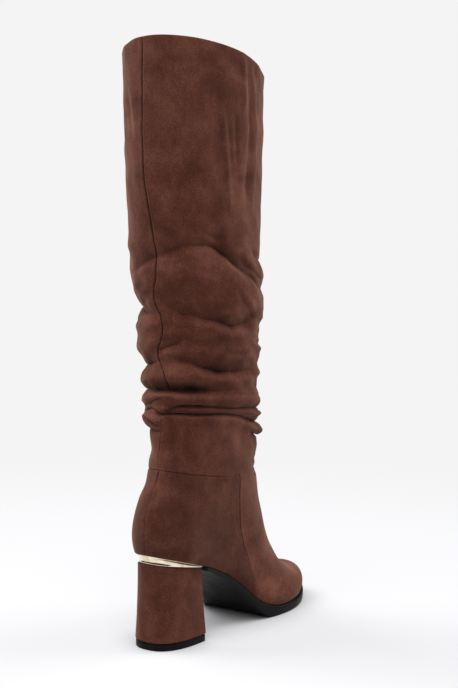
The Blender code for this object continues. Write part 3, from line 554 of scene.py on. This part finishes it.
def makeLeg():
    look = legLook
    columns = denseNear((0.0,), look, 360.0)
    rises = [np.linspace(low, high, count, endpoint=False) for low, high, count in look["bands"]]
    rises = np.concatenate(rises + [[1.0]])
    rise, height = rises[:, None], rises[:, None] * legRun
    offSeam = (columns + 180) % 360 - 180
    pulled = ease(1 - np.abs(offSeam) / look["seamPull"])[None, :]
    turn = columns[None, :] + curveThrough(look["seamRise"], look["seamTurn"], rise) * pulled
    push, droop, shade = foldField(turn, rise)
    aside = np.radians(offSeam)[None, :] * look["radius"]
    push = push + look["uneven"] * waves(aside, height, **look["unevenWaves"]) * ease(rise / 0.03)
    # short wrinkles lie across the slumped part
    slumped = ease((rise - look["slumpFrom"]) / 0.05) * ease((look["slumpTo"] - rise) / 0.10)
    push = push + look["wrinkle"] * slumped * waves(aside, height, **look["wrinkleWaves"])
    opened = curveThrough(look["openRise"], look["open"], rise) * ease((1.0 - rise) / 0.02 + 0.25)
    inSeam = np.clip(1 - np.abs(aside) / look["seamReach"], 0, 1) * opened
    push = push + seamRelief(np.abs(aside), inSeam, look["seamDepth"], look["seamPuff"])
    fromBack = np.abs((turn + 180) % 360 - 180)
    atFront = ease((fromBack - look["frontFrom"]) / look["frontRun"])
    push = push + look["frontSwell"] * atFront * ease(1 - rise / look["frontHigh"])
    # lap over the foot part, and the fold line of the facing under the collar
    push = push + look["lap"] * ease(1 - np.abs(height - look["lapMiddle"]) / look["lapWidth"])
    fromLine = legRun - height - look["facingLineAt"]
    push = push - look["facingLine"] * np.exp(-(fromLine / look["facingLineWidth"]) ** 2)
    outer = legSurface(turn, rise, push, droop)
    inward = gridNormals(outer) * (-1, -1, 0)
    inward = inward / np.linalg.norm(inward, axis=2, keepdims=True)
    hem = [outer[0] + inward[0] * r * mm + up * h * mm for r, h in look["hem"]]
    rim = [outer[-1] + look["rimRadius"] * ((1 - math.cos(a)) * inward[-1] + math.sin(a) * up)
           for a in np.linspace(0, math.pi, 9)[1:]]
    facing = [rim[-1] + (inward[-1] * look["facingLean"] - up * look["facing"]) * s for s in np.linspace(0, 1, 6)[1:]]
    leg = gridPiece("leg", np.concatenate([hem, outer, rim, facing]))
    # painted shade: the creases and hollows are painted darker, and the rolls a little paler
    hollow = np.clip(-push / (5 * mm), -0.5, 1.4)
    tone = (1 - look["hollowShade"] * hollow) * (1 - look["creaseShade"] * np.minimum(shade, 1.25))
    extraRows = (len(hem), len(rim) + len(facing))
    paint(leg, "tone", tone, extraRows)
    paint(leg, "seam", inSeam, extraRows)
    return leg, push, droop, turn, rises


liningLook = {
    "wall": 1.5 * mm, "legGap": 0.4 * mm, "footGap": 0.6 * mm, "mostPush": 0.2 * mm, "droopShare": 0.5,
    "lowShare": 0.02, "topShare": 0.985, "rowReach": 8, "columnReach": 3,
    "turnStep": 3, "riseStep": 4, "footRows": 34,      # a coarser mesh than the leg's
}


def slideMin(field, reach, axis, wrap):
    # lowest value within reach cells, so that the lining stays inside every fold
    low = field.copy()
    for shift in range(1, reach + 1):
        for way in (-shift, shift):
            moved = np.roll(field, way, axis=axis)
            if not wrap:
                edge = [slice(None)] * 2
                edge[axis] = slice(0, way) if way > 0 else slice(way, None)
                moved[tuple(edge)] = field[tuple(edge)]
            low = np.minimum(low, moved)
    return low


def makeLining(push, droop, turn, rises):
    # smooth leather inside the leg and the foot
    look = liningLook
    lowest = slideMin(slideMin(push, look["rowReach"], 0, False), look["columnReach"], 1, True)
    rows = np.arange(look["rowReach"], len(rises), look["riseStep"])
    columns = np.arange(0, turn.shape[1], look["turnStep"])
    pick = np.ix_(rows, columns)
    inside = np.minimum(lowest[pick], look["mostPush"]) - look["wall"] - look["legGap"]
    rise = rises[rows][:, None] * look["topShare"]
    legPart = legSurface(turn[pick], rise, inside, droop[pick] * look["droopShare"])
    angle = np.radians(turn[rows[0]][columns])
    k = np.linspace(0, 20, 400)
    outerPlace = np.interp((1 - np.cos(angle)) / 2, placeShare(k), k)
    place = np.where(np.sin(angle) >= 0, outerPlace, 40 - outerPlace)
    levels = np.linspace(look["lowShare"], look["topShare"], look["footRows"])
    foot = footSurface(levels[:, None], place[None, :])
    foot = foot - gridNormals(foot) * (look["wall"] + look["footGap"])
    return gridPiece("lining", np.concatenate([foot, legPart]), flip=True)


print("leg: suede tube with its folds")
leg, *legField = makeLeg()

print("lining: leather inside the leg and the foot")
lining = makeLining(*legField)

print("foot: suede vamp and quarters")
foot = makeFoot()

soleLook = {
    "columns": 132, "margin": 2.2 * mm, "shankMargin": 0.2 * mm, "shankInset": 0.55, "leastHalf": 0.5 * mm,
    "rollOff": 4 * mm, "rollLength": 38 * mm,       # where the underside comes down to the tread, and over what length
    # inset in mm and share of the thickness, from the middle of the underside round the edge to the middle of the top
    "profile": (
        (16, 0.0), (9, 0.0), (5.2, 0.0), (4.6, 0.05), (4.0, 0.05), (3.4, 0.0), (1.9, 0.0), (1.2, 0.02), (0.6, 0.06),
        (0.2, 0.13), (0.0, 0.22), (-0.1, 0.38), (-0.12, 0.52), (-0.1, 0.66), (0.0, 0.80), (0.25, 0.90), (0.7, 0.97),
        (1.3, 1.0), (3.0, 1.0), (9, 1.0),
    ),
}


def forefoot(y):
    return ease((y - last["breastY"]) / (last["treadStart"] - last["breastY"]))


def planHalf(y):
    share = alongFoot(y)
    return outlineAt("half", y) * roundEnd(share, last["heelRound"]) * roundEnd(1 - share, last["toeRound"])


def planSides(y, inset, z):
    # both sides of the foot's plan at y, drawn in by inset
    half, middle = np.maximum(soleLook["leastHalf"], planHalf(y) - inset), outlineAt("middle", y)
    moved = y + inset * (np.clip(1 - alongSeat(y), 0, None) - np.clip(alongToe(y), 0, None))
    return [np.stack([middle + side * half, moved, z], axis=-1) for side in (1, -1)]


def soleUnder(y):
    tread = float(bedHeight(np.array(last["treadStart"])))
    under = bedHeight(y) - mix(last["shankThickness"], tread, forefoot(y) ** 2)
    under = np.maximum(under, 0.0) * ease((last["treadFlat"] + soleLook["rollOff"] - y) / soleLook["rollLength"])
    return np.where(y > last["treadEnd"], bedHeight(y) - last["soleThickness"], under)


def makeSole():
    y = mix(last["seatBackY"], last["toeY"], placeShare(np.linspace(6.0, 20.0, soleLook["columns"])))
    margin = mix(soleLook["shankMargin"], soleLook["margin"], forefoot(y))
    rows = []
    for inset, share in soleLook["profile"]:
        inset = inset * mm * mix(soleLook["shankInset"], 1.0, forefoot(y)) - margin
        outerSide, innerSide = planSides(y, inset, mix(soleUnder(y), bedHeight(y), share))
        toe = outerSide[-1:].copy()
        toe[:, 0] = outlineAt("middle", last["toeY"])
        rows.append(np.concatenate([toe, innerSide[-2::-1], outerSide[:-1]]))
    return gridPiece("sole", np.array(rows), closeStart=True, closeEnd=True, flip=True)


print("sole: rubber from the breast to the toe")
sole = makeSole()

sockLook = {
    "columns": 90,
    "profile": ((2.6, 0.3), (2.4, 1.2), (2.6, 2.2), (3.4, 2.8), (6.0, 3.1), (12, 3.1)),      # inset and height, mm
}


def makeSock():
    y = mix(last["seatBackY"], last["toeY"], placeShare(np.linspace(0, 20, sockLook["columns"])))
    rows = []
    for inset, height in sockLook["profile"]:
        outerSide, innerSide = planSides(y, inset * mm, bedHeight(y) + height * mm)
        rows.append(np.concatenate([outerSide, innerSide[-2:0:-1]]))
    return gridPiece("sock", np.array(rows), closeStart=True, closeEnd=True)


print("sock: leather over the insole board")
sock = makeSock()

heelLook = {
    "depth": 50 * mm, "width": 53.5 * mm, "topDepth": 45.5 * mm, "topWidth": 48 * mm, "rake": 2.5 * mm,
    "roundness": 2.5, "edge": 1.0 * mm, "waist": 0.6 * mm, "corner": 1.6 * mm, "joint": 0.3 * mm,
    "turnedIn": 3.0 * mm, "lean": (-0.6 * mm, -2.0 * mm), "rows": 40, "columns": 72,
}


def heelHalf(half, reach):
    return half * (1 - reach ** heelLook["roundness"]) ** (1 / heelLook["roundness"])


def heelPlan(width, backY, frontY, inset):
    # D-shaped plan from the back by the outer side to the middle of the breast and back, with soft corners
    half, corner = width / 2 - inset, heelLook["corner"]
    backY, frontY = backY + inset, frontY - inset
    reach = np.cos(np.linspace(0, math.pi / 2, heelLook["columns"]))
    x, y = heelHalf(half, reach), mix(frontY, backY, reach)
    keep = y < frontY - corner
    x, y = x[keep], y[keep]
    limit = np.interp(frontY - corner, np.append(y, frontY), np.append(x, half))
    arc = np.linspace(0, math.pi / 2, 9)
    breast = np.linspace(limit - corner, 0, 15)[1:]
    xs = np.concatenate([x, limit - corner + corner * np.cos(arc), breast])
    ys = np.concatenate([y, frontY - corner + corner * np.sin(arc), np.full(len(breast), frontY)])
    return np.concatenate([np.stack([xs, ys], 1), np.stack([-xs[-2:0:-1], ys[-2:0:-1]], 1)])


plateLook = {
    "back": 7.2 * mm, "front": 0.9 * mm, "hollow": 1.2 * mm, "columns": 80,
    "topMargin": 1.2 * mm, "lowMargin": 0.5 * mm, "lowBackMargin": 0.4 * mm, "mostFrontInset": 0.35,
    # share of the height, inset in mm, share of the hollow
    "profile": (
        (0.0, 3.0, 0.0), (0.0, 0.35, 0.0), (0.02, 0.08, 0.0), (0.08, 0.0, 0.15), (0.2, 0.0, 0.62), (0.35, 0.0, 0.95),
        (0.5, 0.0, 1.0), (0.65, 0.0, 0.85), (0.8, 0.0, 0.5), (0.92, 0.0, 0.15), (0.98, 0.08, 0.0), (1.0, 0.35, 0.0),
        (1.0, 3.0, 0.0),
    ),
}


def plateThickness(y):
    return mix(plateLook["back"], plateLook["front"], alongSeat(y))


def makeHeel():
    look = heelLook
    low = liftLook["thickness"] * mm + look["joint"]
    backLow, frontLow = -look["depth"] / 2, look["depth"] / 2
    frontTop = frontLow - look["rake"]
    backTop = frontTop - look["topDepth"]
    angles = np.linspace(0, math.pi / 2, 6)
    turned = [(look["edge"] * (1 - math.sin(a)), look["edge"] * (1 - math.cos(a))) for a in angles]
    # share of the height, inset, and height above it
    steps = [(0.0, look["turnedIn"], 0.0)] + [(0.0, inset, height) for inset, height in turned]
    steps += [(share, 0.0, 0.0) for share in np.linspace(0.03, 0.97, look["rows"])]
    steps += [(1.0, inset, -height) for height, inset in turned] + [(1.0, look["turnedIn"], 0.0)]
    rows = []
    for share, inset, height in steps:
        waist = look["waist"] * 4 * share * (1 - share)
        plan = heelPlan(mix(look["width"], look["topWidth"], share) - 2 * waist,
                        mix(backLow, backTop, share) + waist, mix(frontLow, frontTop, share), inset)
        topZ = seatHeight(plan[:, 1]) - plateThickness(plan[:, 1]) - look["joint"]
        rows.append(np.column_stack([plan, mix(low, topZ, share) + height]))
    points = np.array(rows)
    heel = gridPiece("heelCover", points, closeStart=True, closeEnd=True)
    # the cover's two edges meet down the middle of the breast
    seam = np.zeros(points.shape[:2])
    seam[:, points.shape[1] // 2] = 1.0
    paint(heel, "seam", seam)
    paint(heel, "tone", np.ones(points.shape[:2]))
    return heel


def makePlate():
    # both outlines have the same columns: back, outer side, breast, inner side
    reach = np.cos(np.linspace(0, math.pi / 2, plateLook["columns"]))
    frontY = last["breastY"]
    lowBack = frontY - heelLook["topDepth"] + plateLook["lowBackMargin"] + heelLook["lean"][1]
    topY, lowY = mix(frontY, last["seatBackY"] + plateLook["topMargin"], reach), mix(frontY, lowBack, reach)
    topX = np.maximum(planHalf(topY) - plateLook["topMargin"], 0)
    topX[0] = 0
    lowX = heelHalf(heelLook["topWidth"] / 2 - plateLook["lowMargin"], reach)
    rows = []
    for share, inset, hollowShare in plateLook["profile"]:
        x, y = mix(lowX, topX, share), mix(lowY, topY, share)
        thick = plateThickness(y)
        hollow = plateLook["hollow"] * hollowShare * thick / plateLook["back"] + inset * mm
        z = seatHeight(y) - thick * (1 - share)
        frontLimit = frontY - min(inset, plateLook["mostFrontInset"]) * mm
        x, y = np.maximum(x - hollow, 0), np.minimum(y + hollow * reach, frontLimit)
        breastX = np.linspace(x[-1], 0, 12)[1:]
        xs = np.concatenate([x, breastX])
        ys, zs = (np.append(row, np.full(len(breastX), row[-1])) for row in (y, z))
        ring = np.stack([xs, ys, zs], 1)
        rows.append(np.concatenate([ring, ring[-2:0:-1] * (-1, 1, 1)]))
    return gridPiece("heelPlate", np.array(rows), closeStart=True, closeEnd=True)


liftLook = {
    "thickness": 6.2,       # mm, as is the profile: inset, then height from the floor or, below 0, from the top
    "profile": ((6, 0.0), (1.6, 0.0), (1.1, 0.04), (0.8, 0.16), (0.64, 0.36), (0.6, 0.7), (0.6, 3.4)),
    "topProfile": ((0.6, -0.3), (0.75, -0.1), (1.0, 0.0), (6, 0.0)),
}


def makeLift():
    profile = list(liftLook["profile"])
    profile += [(inset, liftLook["thickness"] + height) for inset, height in liftLook["topProfile"]]
    rows = []
    for inset, z in profile:
        plan = heelPlan(heelLook["width"], -heelLook["depth"] / 2, heelLook["depth"] / 2, inset * mm)
        rows.append(np.column_stack([plan, np.full(len(plan), z * mm)]))
    return gridPiece("topLift", np.array(rows), closeStart=True, closeEnd=True)


print("heel: covered block, metal wedge and top lift")
heelCover, heelPlate, topLift = makeHeel(), makePlate(), makeLift()
for piece in (heelCover, topLift):
    # the block stands a little further out and back under the plate
    piece.location = (*heelLook["lean"], 0.0)


def linear(hexColour):
    # sRGB hex to the renderer's linear colour
    parts = [int(hexColour[i:i + 2], 16) / 255 for i in (1, 3, 5)]
    return tuple(c / 12.92 if c <= 0.04045 else ((c + 0.055) / 1.055) ** 2.4 for c in parts) + (1.0,)


def newMaterial(name):
    material = bpy.data.materials.new(name)
    material.use_nodes = True
    return material, material.node_tree, material.node_tree.nodes["Principled BSDF"]


def add(tree, kind, settings=None, links=None):
    # one node with its settings and what feeds it; the stops of a colour ramp are (position, sRGB hex) from low to high
    node = tree.nodes.new("ShaderNode" + kind)
    for key, value in (settings or {}).items():
        if key == "stops":
            for element, (position, colour) in zip(node.color_ramp.elements, (value[0], value[-1])):
                element.position, element.color = position, linear(colour)
            for position, colour in value[1:-1]:
                node.color_ramp.elements.new(position).color = linear(colour)
        elif isinstance(key, int) or key in node.inputs:
            node.inputs[key].default_value = value
        else:
            setattr(node, key, value)
    for key, source in (links or {}).items():
        tree.links.new(source, node.inputs[key])
    return node


def dress(tree, shader, links, **values):
    # what feeds the shader, and what is the same all over it
    for key, source in links.items():
        tree.links.new(source, shader.inputs[key])
    for key, value in values.items():
        shader.inputs[key.replace("_", " ")].default_value = value


suedeLook = {
    "stops": ((0.44, "#44251c"), (0.58, "#593228"), (0.72, "#6d4336")), "seamShade": "#1c0c09", "seamStrength": 0.9,
    "patchMm": 27.0,        # the nap lies one way over about a thumb's width
    "streakMm": 4.0,        # strokes of the brush, drawn out upwards
    "fibreMm": 1.1,         # real fibres are about 0.2 mm: drawn coarser, so that they show
    "patchWeight": 0.56, "streakWeight": 0.14, "fibreWeight": 0.46, "fibreHeight": 0.16 * mm, "bump": 0.55,
    "roughness": 0.95, "specular": 0.12, "sheen": 0.36, "sheenRoughness": 0.42, "sheenTint": "#c8a592",
}


def makeSuede():
    # Split leather, buffed to a nap: no shine of its own, cloudy where the nap lies either way, pale at grazing angles
    look = suedeLook
    material, tree, shader = newMaterial("buffedSuede")
    where = add(tree, "TexCoord").outputs["Object"]
    brushed = add(tree, "Mapping", {"Scale": (1.0, 1.0, 0.4)}, {"Vector": where}).outputs["Vector"]
    patch = add(tree, "TexNoise", {"Scale": 1000 / look["patchMm"], "Detail": 4.0, "Roughness": 0.56,
                                   "Distortion": 0.45}, {"Vector": where})
    streak = add(tree, "TexNoise", {"Scale": 1000 / look["streakMm"], "Detail": 3.0, "Roughness": 0.6},
                 {"Vector": brushed})
    fibre = add(tree, "TexNoise", {"Scale": 1000 / look["fibreMm"], "Detail": 2.0, "Roughness": 0.7}, {"Vector": where})
    tone = add(tree, "Math", {"operation": "MULTIPLY", 1: look["patchWeight"]}, {0: patch.outputs["Fac"]})
    for noise, weight in ((streak, look["streakWeight"]), (fibre, look["fibreWeight"])):
        tone = add(tree, "Math", {"operation": "MULTIPLY_ADD", 1: weight},
                   {0: noise.outputs["Fac"], 2: tone.outputs[0]})
    ramp = add(tree, "ValToRGB", {"stops": look["stops"]}, {"Fac": tone.outputs[0]})
    # the tone attribute: painted shade in the leg's creases, painted light on the foot's vamp and toe
    paintedShadeAndLight = add(tree, "Attribute", {"attribute_name": "tone"})
    shaded = add(tree, "Mix", {"data_type": "RGBA", "blend_type": "MULTIPLY", 0: 1.0},
                 {6: ramp.outputs["Color"], 7: paintedShadeAndLight.outputs["Fac"]})
    seam = add(tree, "Attribute", {"attribute_name": "seam"})
    inSeam = add(tree, "MapRange", {"From Min": 0.25, "From Max": 0.95, "To Max": look["seamStrength"]},
                 {"Value": seam.outputs["Fac"]})
    colour = add(tree, "Mix", {"data_type": "RGBA", 7: linear(look["seamShade"])},
                 {0: inSeam.outputs["Result"], 6: shaded.outputs[2]})
    nap = add(tree, "Math", {"operation": "MULTIPLY_ADD", 1: 0.6}, {0: streak.outputs["Fac"], 2: fibre.outputs["Fac"]})
    bump = add(tree, "Bump", {"Strength": look["bump"], "Distance": look["fibreHeight"]}, {"Height": nap.outputs[0]})
    dress(tree, shader, {"Base Color": colour.outputs[2], "Normal": bump.outputs["Normal"]},
           Roughness=look["roughness"], Specular_IOR_Level=look["specular"], Sheen_Weight=look["sheen"],
           Sheen_Roughness=look["sheenRoughness"], Sheen_Tint=linear(look["sheenTint"]))
    return material


liningLeatherLook = {
    "stops": ((0.3, "#5a3e30"), (0.7, "#7a5a46")), "cloudMm": 16.67,
    "poreMm": 0.9,          # real pores are about 0.3 mm apart: drawn coarser, so that they show
    "poreDepth": 0.1 * mm, "bump": 0.4, "roughness": 0.6, "specular": 0.4,
}


def makeLiningLeather():
    # Lining leather, drum dyed and left plain: a soft low shine, fine pores
    look = liningLeatherLook
    material, tree, shader = newMaterial("drumDyedLiningLeather")
    where = add(tree, "TexCoord").outputs["Object"]
    cloud = add(tree, "TexNoise", {"Scale": 1000 / look["cloudMm"], "Detail": 3.0}, {"Vector": where})
    pores = add(tree, "TexVoronoi", {"Scale": 1000 / look["poreMm"]}, {"Vector": where})
    ramp = add(tree, "ValToRGB", {"stops": look["stops"]}, {"Fac": cloud.outputs["Fac"]})
    bump = add(tree, "Bump", {"Strength": look["bump"], "Distance": look["poreDepth"]},
               {"Height": pores.outputs["Distance"]})
    dress(tree, shader, {"Base Color": ramp.outputs["Color"], "Normal": bump.outputs["Normal"]},
           Roughness=look["roughness"], Specular_IOR_Level=look["specular"])
    return material


rubberLook = {
    "stops": ((0.3, "#060607"), (0.75, "#131416")), "cloudMm": 11.11, "roughness": (0.42, 0.6), "specular": 0.12,
    "grainMm": 0.7,         # the mould's real grain is about 0.1 mm: drawn coarser, so that it shows
    "grainDepth": 0.05 * mm, "bump": 0.25,
}


def makeRubber():
    # Vulcanised rubber from a satin mould: near black, a grey sheen along turned edges
    look = rubberLook
    material, tree, shader = newMaterial("mouldedRubber")
    where = add(tree, "TexCoord").outputs["Object"]
    cloud = add(tree, "TexNoise", {"Scale": 1000 / look["cloudMm"], "Detail": 4.0, "Roughness": 0.6}, {"Vector": where})
    grain = add(tree, "TexNoise", {"Scale": 1000 / look["grainMm"], "Detail": 2.0}, {"Vector": where})
    ramp = add(tree, "ValToRGB", {"stops": look["stops"]}, {"Fac": cloud.outputs["Fac"]})
    smooth, rough = look["roughness"]
    worn = add(tree, "MapRange", {"From Min": 0.3, "From Max": 0.7, "To Min": smooth, "To Max": rough},
               {"Value": cloud.outputs["Fac"]})
    bump = add(tree, "Bump", {"Strength": look["bump"], "Distance": look["grainDepth"]},
               {"Height": grain.outputs["Fac"]})
    dress(tree, shader, {"Base Color": ramp.outputs["Color"], "Roughness": worn.outputs["Result"],
                          "Normal": bump.outputs["Normal"]}, Specular_IOR_Level=look["specular"])
    return material


goldLook = {
    "stops": ((0.35, "#d8c7a6"), (0.6, "#f3e8d3")), "cloudMm": 8.33, "roughness": (0.09, 0.18),
    "hairlineMm": 0.5,      # real hairlines are about 0.05 mm: drawn coarser, so that they show
    "hairlineDepth": 0.02 * mm, "bump": 0.08,
}


def makeGold():
    # Zinc casting, polished and plated in pale gold: mirror bright, with faint hairlines
    look = goldLook
    material, tree, shader = newMaterial("paleGoldPlating")
    where = add(tree, "TexCoord").outputs["Object"]
    drawn = add(tree, "Mapping", {"Scale": (0.08, 0.08, 1.0)}, {"Vector": where}).outputs["Vector"]
    cloud = add(tree, "TexNoise", {"Scale": 1000 / look["cloudMm"], "Detail": 3.0}, {"Vector": where})
    hairline = add(tree, "TexNoise", {"Scale": 1000 / look["hairlineMm"], "Detail": 2.0}, {"Vector": drawn})
    ramp = add(tree, "ValToRGB", {"stops": look["stops"]}, {"Fac": cloud.outputs["Fac"]})
    smooth, rough = look["roughness"]
    polish = add(tree, "MapRange", {"From Min": 0.3, "From Max": 0.7, "To Min": smooth, "To Max": rough},
                 {"Value": hairline.outputs["Fac"]})
    bump = add(tree, "Bump", {"Strength": look["bump"], "Distance": look["hairlineDepth"]},
               {"Height": hairline.outputs["Fac"]})
    dress(tree, shader, {"Base Color": ramp.outputs["Color"], "Roughness": polish.outputs["Result"],
                          "Normal": bump.outputs["Normal"]}, Metallic=1.0)
    return material


print("materials: suede, lining leather, rubber and gold plating")
suede, liningLeather, rubber, gold = makeSuede(), makeLiningLeather(), makeRubber(), makeGold()

# Piece, material, slot, and the solids that it stands for
dressing = (
    (leg, suede, "brown_suede", ("shaft",)),
    (foot, suede, "brown_suede", ("upper",)),
    (lining, liningLeather, "sock_lining", ()),
    (sock, liningLeather, "sock_lining", ("insole",)),
    (sole, rubber, "black_rubber", ("outsole",)),
    (heelCover, suede, "brown_suede", ("heel_block",)),
    (heelPlate, gold, "pale_gold", ("heel_plate",)),
    (topLift, rubber, "black_rubber", ("top_lift",)),
)
for piece, material, slotName, nodes in dressing:
    piece.data.materials.append(material)
    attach(piece, "root")
    if nodes:
        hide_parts(*nodes)

studio = {
    "background": "#f4f4f4", "ambient": 0.30, "roomGlow": 0.06,
    # turn from the boot's back in degrees, height in degrees, distance and size in metres, watts
    "softboxes": ((-75, 46, 2.7, 1.7, 62.0), (140, 40, 2.7, 1.7, 46.0), (25, 66, 2.8, 1.7, 46.0)),
    "softboxAim": (0, 0.05, 0.22),
    "floor": "#929294", "floorGlow": "#f0f0f3", "floorLift": 0.62, "shadowReach": 0.06, "floorBounce": "#b6b4b2",
    "floorMiddle": 0.08, "floorRadii": (0.001, 0.3, 0.6, 1.0, 1.6, 2.4, 6.0), "floorCorners": 96,
    "fadeFrom": 0.10, "fadeTo": 0.9,
}


def makeStudio():
    world = bpy.data.worlds.new("studio")
    bpy.context.scene.world = world
    world.use_nodes = True
    tree = world.node_tree
    shown = tree.nodes["Background"]
    shown.inputs["Color"].default_value = linear(studio["background"])
    light = add(tree, "Background", {"Color": (1, 1, 1, 1), "Strength": studio["ambient"]})
    path = add(tree, "LightPath")
    # polished metal sees the dim room beyond the paper
    dim = add(tree, "Background", {"Strength": studio["roomGlow"]})
    lit = add(tree, "MixShader", None, {0: path.outputs["Is Glossy Ray"], 1: light.outputs[0], 2: dim.outputs[0]})
    both = add(tree, "MixShader", None, {0: path.outputs["Is Camera Ray"], 1: lit.outputs[0], 2: shown.outputs[0]})
    tree.links.new(both.outputs[0], tree.nodes["World Output"].inputs["Surface"])
    for turn, height, distance, size, watts in studio["softboxes"]:
        lamp = bpy.data.lights.new("softbox", "AREA")
        lamp.shape, lamp.size, lamp.energy = "DISK", size, watts
        holder = bpy.data.objects.new("softbox", lamp)
        bpy.context.scene.collection.objects.link(holder)
        a, e = math.radians(turn), math.radians(height)
        place = Vector((math.sin(a) * math.cos(e), -math.cos(a) * math.cos(e), math.sin(e))) * distance
        holder.location = place + Vector(studio["softboxAim"])
        holder.rotation_euler = place.to_track_quat("Z", "Y").to_euler()


def makeFloor():
    # plain sweep: paper near the boot that blends into the background's tone further out
    angles = np.linspace(0, 2 * math.pi, studio["floorCorners"], endpoint=False)
    rows = [np.stack([r * np.cos(angles), studio["floorMiddle"] + r * np.sin(angles), np.zeros(len(angles))], 1)
            for r in studio["floorRadii"]]
    floor = gridPiece("floor", np.array(rows), closeStart=True)
    material, tree, shader = newMaterial("paperSweep")
    where = add(tree, "TexCoord").outputs["Object"]
    length = add(tree, "VectorMath", {"operation": "LENGTH"}, {0: where})
    fade = add(tree, "MapRange", {"interpolation_type": "SMOOTHSTEP", "From Min": studio["fadeFrom"],
                                  "From Max": studio["fadeTo"]}, {"Value": length.outputs["Value"]})
    glow = add(tree, "Emission", {"Color": linear(studio["background"])})
    # the lift fades where the boot stands close, which leaves its contact shadow dark
    openness = add(tree, "AmbientOcclusion", {"Distance": studio["shadowReach"]})
    lifted = add(tree, "MapRange", {"From Min": 0.15, "From Max": 0.85, "To Max": studio["floorLift"]},
                 {"Value": openness.outputs["AO"]})
    lift = add(tree, "Emission", {"Color": linear(studio["floorGlow"])}, {"Strength": lifted.outputs["Result"]})
    paper = add(tree, "AddShader", None, {0: shader.outputs[0], 1: lift.outputs[0]})
    shown = add(tree, "MixShader", None, {0: fade.outputs["Result"], 1: paper.outputs[0], 2: glow.outputs[0]})
    # the paper throws little light back up at the boot
    bounce = add(tree, "BsdfDiffuse", {"Color": linear(studio["floorBounce"])})
    path = add(tree, "LightPath")
    both = add(tree, "MixShader", None, {0: path.outputs["Is Diffuse Ray"], 1: shown.outputs[0], 2: bounce.outputs[0]})
    tree.links.new(both.outputs[0], tree.nodes["Material Output"].inputs["Surface"])
    dress(tree, shader, {}, Base_Color=linear(studio["floor"]), Roughness=0.9, Specular_IOR_Level=0.1)
    floor.data.materials.append(material)


print("studio: floor, light and camera")
makeStudio()
makeFloor()

camera = {
    "azimuth": 35.0, "distance": 1.4, "height": 0.4408, "aimZ": 0.251, "aimRight": 0.0303, "middleY": 0.040,
    "lens": 87.1, "sensor": 36.0, "roll": 0.22,
}


def makeCamera():
    data = bpy.data.cameras.new("camera")
    data.lens, data.sensor_width = camera["lens"], camera["sensor"]
    holder = bpy.data.objects.new("camera", data)
    bpy.context.scene.collection.objects.link(holder)
    a = math.radians(camera["azimuth"])
    out, right = Vector((math.sin(a), -math.cos(a), 0)), Vector((math.cos(a), math.sin(a), 0))
    centre = Vector((0, camera["middleY"], 0))
    holder.location = centre + out * camera["distance"] + Vector((0, 0, camera["height"]))
    aim = centre + right * camera["aimRight"] + Vector((0, 0, camera["aimZ"]))
    turned = (holder.location - aim).to_track_quat("Z", "Y") @ Quaternion((0, 0, 1), math.radians(camera["roll"]))
    holder.rotation_euler = turned.to_euler()
    bpy.context.scene.camera = holder


makeCamera()
bpy.context.scene.view_settings.view_transform = "Standard"
